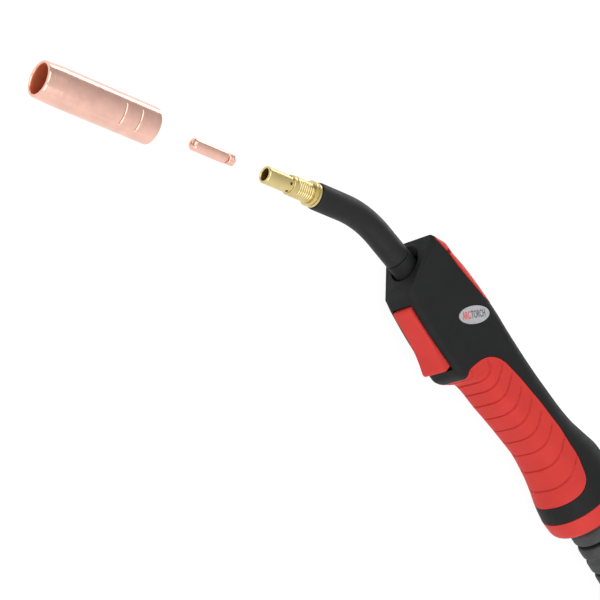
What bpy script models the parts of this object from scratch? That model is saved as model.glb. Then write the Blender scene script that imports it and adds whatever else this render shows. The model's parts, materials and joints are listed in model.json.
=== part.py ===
"""MIG welding torch with its lead and machine connector, built as separate parts.

Metres, +Z up. The torch lies on its right side: +X runs from the rear ring to the
neck, +Y is the trigger side and +Z is the left side. The nozzle and the contact
tip stand off the neck on their common axis, each on its own slide.

Sizes below are in millimetres in the torch frame, whose origin is on the handle
axis at the front edge of the rear ring. TORCH_ORIGIN moves it into the world.
"""
import math

import bmesh
import bpy
from mathutils import Matrix, Vector

MM = 0.001
GAP = 0.3                                   # left between neighbouring parts

# ---- driving dimensions (mm, torch frame) --------------------------------------
TORCH_ORIGIN = Vector((-139.2, -61.5, 21.18))  # torch frame's origin in the world

TIP_DIAMETER = 6.0                          # M6 contact tip: the size standard
TIP_LENGTH = 25.0
NOZZLE_LENGTH = 59.6
NOZZLE_RADIUS = 8.9
NECK_RADIUS = 6.87
NECK_ANGLE = math.radians(9.8)              # neck's lean where it leaves the head
BARREL_ANGLE = math.radians(40.2)           # nozzle axis against the handle axis
BEND_RADIUS = 48.0
DIFFUSER_FRONT = Vector((240.7, 62.1, 0.0))
NECK_EXIT = Vector((162.0, 16.0, 0.0))
SLEEVE_FRONT = -31.8                        # from the diffuser's front, along the barrel
TIP_REST = 18.9                             # tip's rear end, in front of the diffuser
NOZZLE_REST = 66.8                          # nozzle's rear end, in front of the diffuser

WALL = 3.4
RECESS = 1.8                                # depth of the seats for pad and cap
SKIN = 1.5                                  # thickness of pad and cap
CAP_PROUD = 0.2
SPLIT = 0.15                                # each shell stops this far from the joint

# Handle sections: x, top y, bottom y, half widths above and below, corner radii.
HANDLE = [
    (-1, -25.5, 20.0, 21.2, 21.0, 20.8, 20.6),
    (8, -26.8, 18.2, 20.9, 20.0, 20.0, 18.6),
    (17, -26.4, 16.0, 19.9, 18.2, 18.5, 16.5),
    (28, -22.9, 14.4, 18.0, 16.2, 15.5, 14.0),
    (38, -19.4, 13.9, 16.8, 14.7, 13.5, 12.2),
    (50, -16.6, 15.3, 16.2, 13.8, 11.5, 11.0),
    (65, -14.2, 17.6, 16.2, 13.3, 10.0, 10.0),
    (75, -12.6, 19.2, 16.4, 13.0, 9.0, 9.0),
    (86, -11.2, 20.5, 16.7, 12.6, 8.0, 8.0),
    (91, -10.7, 21.8, 16.8, 12.3, 7.5, 7.0),
    (95, -10.2, 27.0, 16.9, 11.8, 7.0, 6.0),
    (98, -9.9, 30.6, 17.0, 11.5, 6.7, 5.0),
    (102, -9.6, 32.8, 17.1, 11.3, 6.4, 4.5),
    (108, -9.4, 33.2, 17.2, 11.0, 6.0, 4.2),
    (126, -7.8, 33.4, 17.5, 10.5, 5.3, 4.0),
    (143, -5.2, 32.6, 17.7, 10.2, 4.8, 4.0),
    (150, -3.3, 31.6, 17.8, 10.1, 4.5, 4.0),
    (157, -2.4, 31.4, 17.8, 10.0, 4.4, 4.0),
    (161, 0.0, 31.4, 17.8, 9.9, 4.3, 4.0),
    (169, 5.0, 31.4, 17.8, 9.9, 4.2, 4.0),
]
ARC_POINTS = 5                              # points on each corner of a section

FRONT_TOP = Vector((164.3, 5.1))            # head's slanted front face
FRONT_BOTTOM = Vector((149.7, 31.4))
FRONT_CHAMFER = 2.2

PAD_OUTLINE = [(96.5, 40), (96.8, 30.5), (100.3, 28.5), (100.4, 23), (99.6, 15.8),
               (96.3, 9.8), (90.7, 5.4), (77, 2.2), (60, -0.8), (43, -2.6), (25, -1.5), (13.6, 2.8),
               (9.4, 8.6), (8, 15), (7.6, 40)]
CAP_OUTLINE = [(163.4, 4.6), (160, 3.6), (153, 1.9), (145, 0.9), (138, -0.4), (130.6, -2.0),
               (123, -3.6), (118, -5.9), (116.3, -8.6), (116, -20), (176.8, -20)]

TRIGGER_PIVOT = Vector((138.5, 28.6, 0.0))
TRIGGER_OUTLINE = [(143.4, 28), (143.4, 33.4), (142.4, 34.8), (137, 34.9), (132, 34.8),
                   (123, 35.2), (116, 36.4), (110.5, 38.1), (108.6, 38.4), (107.3, 37.6),
                   (107, 36), (107.4, 29.4), (131, 27.4), (134.6, 25.4), (141.4, 25.4)]
TRIGGER_FRONT_WIDTH = 5.9
TRIGGER_REAR_WIDTH = 7.2
TRIGGER_PIN_RADIUS = 1.3
PIN_HALF_LENGTH = 9.2
PLUNGER_X = 126.5

SWIVEL_AXIS_Y = -1.4
CABLE_RADIUS = 6.5
BALL_CENTRE_X = -2.0
BALL_RADIUS = 14.2
BOOT_RADIUS = 13.2
BOOT_END = -64.0
BOOT_PITCH = 9.2

FLOOR = -21.2
COIL_CENTRE = Vector((-136.0, -69.9))
COIL_MID_RADIUS = 62.0
COIL_TURNS_WIDE = 2
COIL_LAYERS = 3

CONNECTOR_FACE = Vector((32.0, -144.0, 0.0))  # the plug's front face, pointing along +X
CONNECTOR_NUT_RADIUS = 21.0
CONNECTOR_REAR = -122.0                     # its rear end, from the face

SCREW_PLACES = [(148.3, 25.0), (106.0, -4.8), (78.0, -7.0), (34.0, -12.6)]
BOSS_RADIUS = 3.0


# ---- helpers ---------------------------------------------------------------------
def clear_scene():
    for obj in list(bpy.data.objects):
        bpy.data.objects.remove(obj, do_unlink=True)


def make_material(name, colour, roughness, metallic=0.0):
    material = bpy.data.materials.new(name)
    material.use_nodes = True
    shader = material.node_tree.nodes["Principled BSDF"]
    shader.inputs["Base Color"].default_value = (*colour, 1.0)
    shader.inputs["Roughness"].default_value = roughness
    shader.inputs["Metallic"].default_value = metallic
    return material


def add_object(name, vertices, faces, material, place=None):
    """A closed mesh from millimetre points; place is its origin or full matrix (mm)."""
    mesh = bpy.data.meshes.new(name)
    mesh.from_pydata([Vector(v) * MM for v in vertices], [], faces)
    build = bmesh.new()
    build.from_mesh(mesh)
    bmesh.ops.recalc_face_normals(build, faces=build.faces)
    build.to_mesh(mesh)
    build.free()
    mesh.shade_smooth()
    mesh.set_sharp_from_angle(angle=math.radians(35))
    obj = bpy.data.objects.new(name, mesh)
    bpy.context.scene.collection.objects.link(obj)
    if material is not None:
        mesh.materials.append(material)
    matrix = Matrix.Identity(4) if place is None else place.copy()
    matrix.translation = (matrix.translation + TORCH_ORIGIN) * MM
    obj.matrix_world = matrix
    return obj


def as_cutter(obj):
    obj.hide_render = True
    obj.display_type = 'WIRE'
    return obj


def boolean(obj, other, operation='DIFFERENCE'):
    modifier = obj.modifiers.new(operation.title(), 'BOOLEAN')
    modifier.operation = operation
    modifier.solver = 'EXACT'
    modifier.object = other


def at(position, along=(1.0, 0.0, 0.0)):
    """Matrix that puts a part's local +X along a direction, at a position (mm)."""
    matrix = Vector(along).to_track_quat('X', 'Z').to_matrix().to_4x4()
    matrix.translation = Vector(position)
    return matrix


def barrel_place(distance):
    along = Vector((math.cos(BARREL_ANGLE), math.sin(BARREL_ANGLE), 0.0))
    return at(DIFFUSER_FRONT + along * distance, along)


def bridge(rings, closed_loop, cap_ends):
    """Faces that join rings of equal length; vertices are numbered ring by ring."""
    count = len(rings[0])
    faces = []
    last = len(rings) if closed_loop else len(rings) - 1
    for i in range(last):
        a = i * count
        b = ((i + 1) % len(rings)) * count
        for j in range(count):
            k = (j + 1) % count
            faces.append((a + j, a + k, b + k, b + j))
    if cap_ends:
        faces.append(tuple(range(count)))
        faces.append(tuple((len(rings) - 1) * count + j for j in range(count)))
    return faces


def turned(name, profile, segments, material, place, hollow=True):
    """Solid of revolution about local X from (x, radius) points.

    A hollow profile is a closed loop; a full one starts and ends at its two end faces.
    """
    rings = []
    for x, radius in profile:
        ring = []
        for j in range(segments):
            angle = 2 * math.pi * j / segments
            ring.append((x, radius * math.cos(angle), radius * math.sin(angle)))
        rings.append(ring)
    faces = bridge(rings, closed_loop=hollow, cap_ends=not hollow)
    vertices = [point for ring in rings for point in ring]
    return add_object(name, vertices, faces, material, place)


def swept(name, path, outer, inner, segments, material):
    """Tube along a path in the torch's middle plane; inner 0 makes a solid rod."""
    rings_out = []
    rings_in = []
    for i, point in enumerate(path):
        before = path[max(i - 1, 0)]
        after = path[min(i + 1, len(path) - 1)]
        tangent = (after - before).normalized()
        side = Vector((0, 0, 1)).cross(tangent).normalized()
        up = tangent.cross(side)
        for rings, radius in ((rings_out, outer), (rings_in, inner)):
            if radius > 0:
                ring = []
                for j in range(segments):
                    angle = 2 * math.pi * j / segments
                    ring.append(point + radius * (math.cos(angle) * side + math.sin(angle) * up))
                rings.append(ring)
    rings = rings_out + rings_in[::-1]
    faces = bridge(rings, closed_loop=bool(rings_in), cap_ends=not rings_in)
    vertices = [point for ring in rings for point in ring]
    return add_object(name, vertices, faces, material)


def prism(name, outline, half_width, material=None, place=None, widths=None):
    """Outline in X and Y, extruded along Z to both sides; widths may vary by point."""
    if widths is None:
        widths = [half_width] * len(outline)
    near = [(x, y, w) for (x, y), w in zip(outline, widths)]
    far = [(x, y, -w) for (x, y), w in zip(outline, widths)]
    faces = bridge([near, far], closed_loop=False, cap_ends=True)
    return add_object(name, near + far, faces, material, place)


def box(name, low, high, material, place=None):
    outline = [(low[0], low[1]), (high[0], low[1]), (high[0], high[1]), (low[0], high[1])]
    near = [(x, y, high[2]) for x, y in outline]
    far = [(x, y, low[2]) for x, y in outline]
    faces = bridge([near, far], closed_loop=False, cap_ends=True)
    return add_object(name, near + far, faces, material, place)


def smooth_path(points, spacing):
    """Points at an even spacing along a Catmull-Rom curve through the given points."""
    fine = []
    padded = [2 * points[0] - points[1]] + points + [2 * points[-1] - points[-2]]
    for i in range(1, len(padded) - 2):
        p0, p1, p2, p3 = padded[i - 1:i + 3]
        for step in range(24):
            t = step / 24
            fine.append(0.5 * (2 * p1 + (p2 - p0) * t + (2 * p0 - 5 * p1 + 4 * p2 - p3) * t * t
                               + (3 * p1 - p0 - 3 * p2 + p3) * t ** 3))
    fine.append(points[-1])
    total = sum((b - a).length for a, b in zip(fine, fine[1:]))
    count = max(2, round(total / spacing))
    result = [fine[0]]
    walked = 0.0
    for a, b in zip(fine, fine[1:]):
        step = (b - a).length
        while walked + step >= total * len(result) / count and len(result) < count:
            part = (total * len(result) / count - walked) / step
            result.append(a.lerp(b, part))
        walked += step
    result.append(fine[-1])
    return result


def poly_curve(name, points, radius, resolution, material):
    """A cord: a round curve with filled ends through the given points (mm)."""
    curve = bpy.data.curves.new(name, 'CURVE')
    curve.dimensions = '3D'
    curve.bevel_depth = radius * MM
    curve.bevel_resolution = resolution
    curve.use_fill_caps = True
    spline = curve.splines.new('POLY')
    spline.points.add(len(points) - 1)
    for target, point in zip(spline.points, points):
        target.co = (*((point + TORCH_ORIGIN) * MM), 1.0)
    curve.materials.append(material)
    obj = bpy.data.objects.new(name, curve)
    bpy.context.scene.collection.objects.link(obj)
    return obj


# ---- handle sections -------------------------------------------------------------
def handle_row(x):
    """The handle's section values at x, between the listed rows."""
    for row, following in zip(HANDLE, HANDLE[1:]):
        if x <= following[0]:
            part = (x - row[0]) / (following[0] - row[0])
            return [a + (b - a) * part for a, b in zip(row, following)]
    return list(HANDLE[-1])


def half_section(row, grow, points=ARC_POINTS):
    """Left half of a section, from the top to the bottom, as (y, z).

    It is the hull of two circles, one at the top corner and one at the bottom.
    """
    top, bottom, wide, narrow, radius_top, radius_bottom = row[1:]
    radius_top = max(radius_top + grow, 0.6)
    radius_bottom = max(radius_bottom + grow, 0.6)
    centre_top = Vector((top - grow + radius_top, wide + grow - radius_top))
    centre_bottom = Vector((bottom + grow - radius_bottom, narrow + grow - radius_bottom))
    between = centre_bottom - centre_top
    lean = max(-1.0, min(1.0, (radius_top - radius_bottom) / between.length))
    side = Vector((-between.y, between.x)).normalized()
    normal = between.normalized() * lean + side * math.sqrt(1 - lean * lean)
    turn = math.atan2(normal.x, normal.y)
    result = []
    for centre, radius, start, end in ((centre_top, radius_top, -math.pi / 2, turn),
                                       (centre_bottom, radius_bottom, turn, math.pi / 2)):
        for i in range(points):
            angle = start + (end - start) * i / (points - 1)
            result.append((centre.x + radius * math.sin(angle), centre.y + radius * math.cos(angle)))
    return result


def side_surface(x, y, grow=0.0):
    """Half width of the handle's outside at a place, in the side view."""
    points = half_section(handle_row(x), grow, 12)
    for (y0, z0), (y1, z1) in zip(points, points[1:]):
        if y0 <= y <= y1 and y1 > y0:
            return z0 + (z1 - z0) * (y - y0) / (y1 - y0)
    return 0.0


def body_loft(name, grow, first=None, last=None, left_only=False, material=None):
    """The handle's shape, grown by a distance; left_only stops it near the joint."""
    rows = [row for row in HANDLE if (first is None or row[0] > first)
            and (last is None or row[0] < last)]
    if first is not None:
        rows.insert(0, [first] + handle_row(max(first, HANDLE[0][0]))[1:])
    if last is not None:
        rows.append([last] + handle_row(last)[1:])
    rings = []
    for row in rows:
        half = half_section(row, grow)
        if left_only:
            ring = [(row[0], y, z) for y, z in half]
            ring += [(row[0], half[-1][0], SPLIT), (row[0], half[0][0], SPLIT)]
        else:
            ring = [(row[0], y, z) for y, z in half] + [(row[0], y, -z) for y, z in half[::-1]]
        rings.append(ring)
    vertices = [point for ring in rings for point in ring]
    return add_object(name, vertices, bridge(rings, False, True), material)


def mirror_left_to_right(obj):
    for vertex in obj.data.vertices:
        vertex.co.z = -vertex.co.z
    obj.data.flip_normals()


# ---- neck and front end ----------------------------------------------------------
def neck_path(start, end, steps=7):
    """Centre line from start, along the barrel, to end, inside the head (mm)."""
    barrel = Vector((math.cos(BARREL_ANGLE), math.sin(BARREL_ANGLE), 0.0))
    stem = Vector((math.cos(NECK_ANGLE), math.sin(NECK_ANGLE), 0.0))
    across = DIFFUSER_FRONT - NECK_EXIT
    determinant = stem.x * barrel.y - stem.y * barrel.x
    reach = (across.x * barrel.y - across.y * barrel.x) / determinant
    corner = NECK_EXIT + stem * reach
    bend = BARREL_ANGLE - NECK_ANGLE
    tangent = BEND_RADIUS * math.tan(bend / 2)
    centre = corner - stem * tangent + Vector((-stem.y, stem.x, 0.0)) * BEND_RADIUS
    path = [DIFFUSER_FRONT + barrel * start]
    for i in range(steps + 1):
        angle = BARREL_ANGLE - bend * i / steps
        path.append(centre + BEND_RADIUS * Vector((math.sin(angle), -math.cos(angle), 0.0)))
    path.append(NECK_EXIT + stem * end)
    return path


def stem_place(distance):
    stem = Vector((math.cos(NECK_ANGLE), math.sin(NECK_ANGLE), 0.0))
    return at(NECK_EXIT + stem * distance, stem)


def build_nozzle(copper, fibre, brass):
    place = barrel_place(NOZZLE_REST)
    length = NOZZLE_LENGTH
    crimps = []
    for centre in (12.0, 20.6):
        crimps += [(centre - 1.7, NOZZLE_RADIUS), (centre - 1.2, NOZZLE_RADIUS + 0.25),
                   (centre - 0.6, NOZZLE_RADIUS - 0.25), (centre + 0.6, NOZZLE_RADIUS - 0.25),
                   (centre + 1.2, NOZZLE_RADIUS + 0.25), (centre + 1.7, NOZZLE_RADIUS)]
    outside = [(0.5, NOZZLE_RADIUS)] + crimps
    outside += [(length - 13, NOZZLE_RADIUS), (length - 5, 8.65), (length - 0.8, 8.46),
                (length, 8.0)]
    inside = [(length, 7.2), (length - 0.7, 6.9), (length - 12, 7.3), (26.5, 7.45),
              (0, 7.45), (0, 8.5)]
    turned("gas_nozzle", outside + inside, 28, copper, place)
    turned("nozzle_insulator", [(5.2, 7.1), (25.5, 7.1), (25.5, 6.25), (5.2, 6.25)],
           24, fibre, place)
    collar = [(3.9, 7.1), (4.9, 7.1), (4.9, 5.95), (22.5, 5.95), (22.5, 5.35), (3.9, 5.35)]
    turned("nozzle_thread_collar", collar, 24, brass, place)


def build_tip(copper):
    radius = TIP_DIAMETER / 2
    length = TIP_LENGTH
    bore = 0.55
    thread = []
    for i in range(3):
        start = 0.5 + 1.3 * i
        thread += [(start, 2.2), (start + 0.4, 2.7), (start + 0.9, 2.7)]
    profile = [(0, bore), (0, 2.0)] + thread
    profile += [(4.4, 2.15), (5.2, 2.15), (5.2, radius), (length - 1.9, radius),
                (length - 0.5, 2.3), (length, 1.6), (length, bore)]
    turned("contact_tip", profile, 20, copper, barrel_place(TIP_REST))


def build_diffuser(brass):
    thread = []
    for i in range(7):
        start = -26.2 + 1.28 * i
        thread += [(start, 5.1), (start + 0.5, 5.1), (start + 0.8, 4.75)]
    outside = [(-42, 4.6), (-31.4, 4.6), (-31.4, 6.2), (-30.1, 6.2), (-30.1, 5.5),
               (-29.0, 5.5), (-29.0, 6.4), (-27.6, 6.4), (-27.6, 5.1)]
    outside += thread
    outside += [(-17.2, 4.7), (-16.4, 4.7), (-16.4, 5.0), (-15.1, 5.0), (-15.1, 4.3),
                (-0.6, 4.3), (0, 3.8)]
    inside = [(0, 3.2), (-0.4, 2.95), (-12, 2.95), (-12.6, 2.2), (-42, 2.2)]
    place = barrel_place(0)
    diffuser = turned("gas_diffuser", outside + inside, 24, brass, place)
    for i in range(3):
        angle = math.pi * i / 3 + math.radians(12)
        direction = Vector((0, math.cos(angle), math.sin(angle)))
        reach = 12.0
        local = at(Vector((-13.4, 0, 0)) - direction * reach / 2, direction)
        name = "gas_port_cutter_%d" % (i + 1)
        cutter = turned(name, [(0, 0.75), (reach, 0.75)], 10, None, place @ local, hollow=False)
        boolean(diffuser, as_cutter(cutter))


def build_neck(black, copper, steel):
    path = neck_path(SLEEVE_FRONT, 1.9)
    swept("neck_insulation", path, NECK_RADIUS, 5.5, 20, black)
    swept("neck_conductor_tube", neck_path(-42.4, -50.0), 4.9, 3.0, 14, copper)
    swept("wire_liner", neck_path(-12.9, -102.0), 1.9, 1.0, 8, steel)
    collar = [(-9.0, 6.9), (1.5, 6.9), (1.5, 5.3), (-9.0, 5.3)]
    turned("neck_collar", collar, 24, black, stem_place(0))


def build_neck_socket(brass, steel, black):
    place = stem_place(0)
    profile = [(-59, 6.8), (-36, 6.8), (-36, 5.2), (-50.6, 5.2), (-50.6, 2.6), (-59, 2.6)]
    socket = turned("neck_socket", profile, 20, brass, place)
    hole = at(Vector((-42, -10, 0)), (0, 1, 0))
    cutter = turned("set_screw_cutter", [(0, 1.6), (7.2, 1.6)], 12, None, place @ hole, False)
    boolean(socket, as_cutter(cutter))
    screw = at(Vector((-42, -7.6, 0)), (0, 1, 0))
    turned("neck_set_screw", [(0, 1.2), (0.3, 1.4), (2.4, 1.4)], 12, steel, place @ screw, False)
    sleeve = [(-80.5, 5.4), (-59.4, 5.4), (-59.4, 2.6), (-80.5, 2.6)]
    turned("conduit_coupler", sleeve, 16, brass, place)


# ---- handle ------------------------------------------------------------------------
def front_cutter(name, inset):
    """A block in front of the head's slanted face, moved back by inset."""
    along = (FRONT_BOTTOM - FRONT_TOP).normalized()
    outward = Vector((-along.y, along.x))
    if outward.x < 0:
        outward = -outward
    start = FRONT_TOP - along * 40 - outward * inset
    end = FRONT_BOTTOM + along * 30 - outward * inset
    outline = [start, end, end + outward * 60, start + outward * 60]
    return as_cutter(prism(name, [tuple(p) for p in outline], 40))


def chamfer_cutter(name, side):
    """Cuts the edge between the front face and the left (1) or right (-1) side."""
    top = Vector((FRONT_TOP.x, FRONT_TOP.y, side * 17.5))
    bottom = Vector((FRONT_BOTTOM.x, FRONT_BOTTOM.y, side * 10.4))
    edge = (bottom - top).normalized()
    front = Vector((0.874, 0.485, 0.0))
    outward = (front + Vector((0, 0.26 * 0.7, side * 1.0))).normalized()
    outward = (outward - edge * outward.dot(edge)).normalized()
    across = edge.cross(outward).normalized()
    back = FRONT_CHAMFER * 0.62
    corners = []
    for reach in (-back, 30):
        for along, width in ((-20, -20), (50, -20), (50, 20), (-20, 20)):
            corners.append(top + edge * along + across * width + outward * reach)
    faces = bridge([corners[:4], corners[4:]], False, True)
    return as_cutter(add_object(name, corners, faces, None))


def seat_cutter(name, outline, depth):
    """The space above a seat sunk into the handle inside an outline."""
    cutter = as_cutter(prism(name, outline, 40))
    core = as_cutter(body_loft(name + "_core", -depth, first=-6, last=172))
    boolean(cutter, core)
    return cutter


def grown_outline(outline, distance):
    """The outline moved outward by a distance."""
    area = sum(a[0] * b[1] - b[0] * a[1] for a, b in zip(outline, outline[1:] + outline[:1]))
    turn = 1 if area > 0 else -1
    result = []
    for i, point in enumerate(outline):
        before = Vector(point) - Vector(outline[i - 1])
        after = Vector(outline[(i + 1) % len(outline)]) - Vector(point)
        normals = [Vector((v.y, -v.x)).normalized() * turn for v in (before, after)]
        middle = (normals[0] + normals[1]).normalized()
        reach = distance / max(middle.dot(normals[0]), 0.5)
        result.append(tuple(Vector(point) + middle * reach))
    return result


def build_housing(black):
    halves = {}
    for side, name in ((1, "housing_left"), (-1, "housing_right")):
        half = body_loft(name, 0.0, left_only=True, material=black)
        if side < 0:
            mirror_left_to_right(half)
        halves[side] = half
    hollow = as_cutter(body_loft("hollow_cutter", -WALL, first=-6, last=160))
    boolean(hollow, front_cutter("hollow_front_cutter", 4.0))
    bosses = screw_bosses()
    cuts = [front_cutter("front_cutter", 0.0),
            seat_cutter("pad_seat_cutter", PAD_OUTLINE, RECESS),
            seat_cutter("cap_seat_cutter", CAP_OUTLINE, RECESS),
            trigger_slot_cutter(), pin_bore_cutter(), neck_hole_cutter(), countersink_cutter()]
    for side, half in halves.items():
        boolean(half, hollow)
        for boss in bosses[side]:
            boolean(half, boss, 'UNION')
        for cutter in cuts:
            boolean(half, cutter)
        name = "left" if side > 0 else "right"
        boolean(half, chamfer_cutter("chamfer_cutter_" + name, side))
        boolean(half, badge_shape("badge_seat_cutter_" + name, side, GAP, None))
    for cutter in screw_hole_cutters():
        boolean(halves[-1], cutter)
    for cutter in screw_pilot_cutters():
        boolean(halves[1], cutter)


def trigger_width(x):
    front, rear = TRIGGER_OUTLINE[0][0], TRIGGER_OUTLINE[10][0]
    part = (front - x) / (front - rear)
    return TRIGGER_FRONT_WIDTH + (TRIGGER_REAR_WIDTH - TRIGGER_FRONT_WIDTH) * part


def trigger_slot_cutter():
    outline = [(144.2, 21), (144.2, 60), (105.2, 60), (105.2, 21)]
    widths = [trigger_width(x) + 0.5 for x, _ in outline]
    return as_cutter(prism("trigger_slot_cutter", outline, 0, widths=widths))


def pin_bore_cutter():
    place = at(TRIGGER_PIVOT + Vector((0, 0, -PIN_HALF_LENGTH - GAP)), (0, 0, 1))
    profile = [(0, TRIGGER_PIN_RADIUS + 0.1), (2 * PIN_HALF_LENGTH + 2 * GAP, TRIGGER_PIN_RADIUS + 0.1)]
    return as_cutter(turned("pin_bore_cutter", profile, 16, None, place, hollow=False))


def neck_hole_cutter():
    return as_cutter(turned("neck_hole_cutter", [(-30, 7.2), (30, 7.2)], 24, None,
                            stem_place(0), hollow=False))


def countersink_cutter():
    return as_cutter(turned("countersink_cutter", [(-7.5, 7.6), (-3.8, 9.0), (6, 13.5)],
                            24, None, stem_place(0), hollow=False))


def screw_bosses():
    """Pillars inside the shells: a pair for each screw, keyed by side."""
    bosses = {1: [], -1: []}
    for i, (x, y) in enumerate(SCREW_PLACES):
        reach = side_surface(x, y) - 1.4
        for side in (1, -1):
            name = "boss_%d_%s" % (i + 1, "left" if side > 0 else "right")
            place = at((x, y, side * SPLIT), (0, 0, side))
            boss = turned(name, [(0, BOSS_RADIUS), (reach, BOSS_RADIUS)], 14, None, place, hollow=False)
            bosses[side].append(as_cutter(boss))
    return bosses


def screw_hole_cutters():
    cutters = []
    for i, (x, y) in enumerate(SCREW_PLACES):
        surface = side_surface(x, y)
        profile = [(-2, 1.6), (surface - 2.9, 1.6), (surface - 2.9, 2.8), (surface + 4, 2.8)]
        place = at((x, y, 0), (0, 0, -1))
        cutters.append(as_cutter(turned("screw_cutter_%d" % (i + 1), profile, 14, None,
                                        place, hollow=False)))
    return cutters


def screw_pilot_cutters():
    cutters = []
    for i, (x, y) in enumerate(SCREW_PLACES):
        place = at((x, y, -1), (0, 0, 1))
        cutters.append(as_cutter(turned("pilot_cutter_%d" % (i + 1), [(0, 1.7), (9.5, 1.7)],
                                        12, None, place, hollow=False)))
    return cutters


def build_screws(steel):
    for i, (x, y) in enumerate(SCREW_PLACES):
        head = side_surface(x, y) - 0.5
        profile = [(-head, 1.4), (-head + 0.4, 2.5), (-head + 1.9, 2.5), (-head + 1.9, 1.35),
                   (7.6, 1.35), (8.2, 0.7)]
        place = at((x, y, 0), (0, 0, 1))
        turned("housing_screw_%d" % (i + 1), profile, 14, steel, place, hollow=False)


def badge_shape(name, side, grow, material):
    """Oval plate lying along the handle's sloping side."""
    centre = Vector((119.5, 7.1))
    surface = side_surface(centre.x, centre.y)
    slope = side_surface(centre.x, centre.y + 4) - side_surface(centre.x, centre.y - 4)
    normal = Vector((0, -slope / 8, 1)).normalized()
    length = Vector((math.cos(math.radians(63)), math.sin(math.radians(63)), 0))
    length = (length - normal * length.dot(normal)).normalized()
    width = normal.cross(length)
    bottom, top = (-0.7, 0.35) if grow == 0 else (-1.0, 6.0)
    rings = []
    for height in (bottom, top):
        ring = []
        for j in range(24):
            angle = 2 * math.pi * j / 24
            point = Vector((centre.x, centre.y, surface)) + normal * height
            point += length * (9.7 + grow) * math.cos(angle)
            point += width * (4.6 + grow) * math.sin(angle)
            ring.append((point.x, point.y, side * point.z))
        rings.append(ring)
    obj = add_object(name, rings[0] + rings[1], bridge(rings, False, True), material)
    return as_cutter(obj) if material is None else obj


def skin_piece(name, outline, outer, material):
    """A skin over the handle inside an outline: from SKIN deep to outer above it."""
    piece = prism(name, grown_outline(outline, -GAP), 40, material)
    boolean(piece, as_cutter(body_loft(name + "_outer", outer, first=-6, last=172)), 'INTERSECT')
    boolean(piece, as_cutter(body_loft(name + "_inner", -SKIN, first=-8, last=174)))
    return piece


def build_pad_and_cap(red):
    skin_piece("grip_pad", PAD_OUTLINE, 0.0, red)
    cap = skin_piece("top_cap", CAP_OUTLINE, CAP_PROUD, red)
    for side, label in ((1, "left"), (-1, "right")):
        direction = Vector((0, 0.2, -side * 0.98))
        place = at(Vector((153.4, 1.0, side * 17.7)) - direction * 2, direction)
        cutter = turned("cap_hole_cutter_" + label, [(0, 1.3), (6, 1.3)], 12, None, place, False)
        boolean(cap, as_cutter(cutter))


def build_trigger(red, steel):
    widths = [trigger_width(x) for x, _ in TRIGGER_OUTLINE]
    outline = [(x - TRIGGER_PIVOT.x, y - TRIGGER_PIVOT.y) for x, y in TRIGGER_OUTLINE]
    place = Matrix.Translation(TRIGGER_PIVOT)
    trigger = prism("trigger", outline, 0, red, place, widths)
    bevel = trigger.modifiers.new("Bevel", 'BEVEL')
    bevel.width = 0.7 * MM
    bevel.segments = 2
    bevel.limit_method = 'ANGLE'
    bevel.angle_limit = math.radians(50)
    hole = at(TRIGGER_PIVOT + Vector((0, 0, -12)), (0, 0, 1))
    radius = TRIGGER_PIN_RADIUS
    cutter = turned("trigger_pin_cutter", [(0, radius + 0.1), (24, radius + 0.1)], 16, None,
                    hole, hollow=False)
    boolean(trigger, as_cutter(cutter))
    pin = at(TRIGGER_PIVOT + Vector((0, 0, -PIN_HALF_LENGTH)), (0, 0, 1))
    turned("trigger_pin", [(0, radius), (2 * PIN_HALF_LENGTH, radius)], 16, steel, pin, False)


def build_trigger_spring(steel):
    """Compression spring between the carrier's post and the trigger's underside."""
    base = Vector((113.0, 19.5, 0.0))
    height, coils, radius, wire = 8.8, 4, 2.1, 0.35
    rings = []
    steps = coils * 12
    for i in range(steps + 1):
        angle = 2 * math.pi * i / 12
        centre = base + Vector((radius * math.cos(angle), wire + (height - 2 * wire) * i / steps,
                                radius * math.sin(angle)))
        outward = Vector((math.cos(angle), 0, math.sin(angle)))
        ring = []
        for j in range(5):
            around = 2 * math.pi * j / 5
            ring.append(centre + wire * (math.cos(around) * outward + math.sin(around) * Vector((0, 1, 0))))
        rings.append(ring)
    vertices = [point for ring in rings for point in ring]
    add_object("trigger_spring", vertices, bridge(rings, False, True), steel)


def build_switch(black, grey, wire_red, wire_white):
    carrier = box("switch_carrier", (107, 17.3, -8.8), (134, 19.1, 8.8), grey)
    post = as_cutter(turned("spring_post", [(0, 1.4), (3.4, 1.4)], 10, None,
                            at((113, 18.5, 0), (0, 1, 0)), hollow=False))
    boolean(carrier, post, 'UNION')
    body = box("microswitch", (119.8, 19.4, -3.2), (132.6, 24.4, 3.2), black)
    bore = as_cutter(turned("plunger_cutter", [(0, 1.3), (6, 1.3)], 12, None,
                            at((PLUNGER_X, 20.4, 0), (0, 1, 0)), hollow=False))
    boolean(body, bore)
    turned("switch_plunger", [(0, 1.0), (4.2, 1.0), (4.6, 0.6)], 12, grey,
           at((PLUNGER_X, 22.6, 0), (0, 1, 0)), hollow=False)
    for name, side, material in (("control_wire_red", 1, wire_red),
                                 ("control_wire_white", -1, wire_white)):
        route = [Vector(p) for p in ((119.4, 22.0, side * 1.8), (113, 23.0, side * 4.4),
                                     (106, 21.5, side * 4.4), (101, 17.0, side * 4.2),
                                     (92, 12.5, side * 3.4),
                                     (70, 9.0, side * 2.6), (46, 6.2, side * 2.4),
                                     (30, 3.6, side * 2.4), (20.2, 3.4, side * 2.4))]
        poly_curve(name, smooth_path(route, 7.0), 0.75, 1, material)


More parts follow.
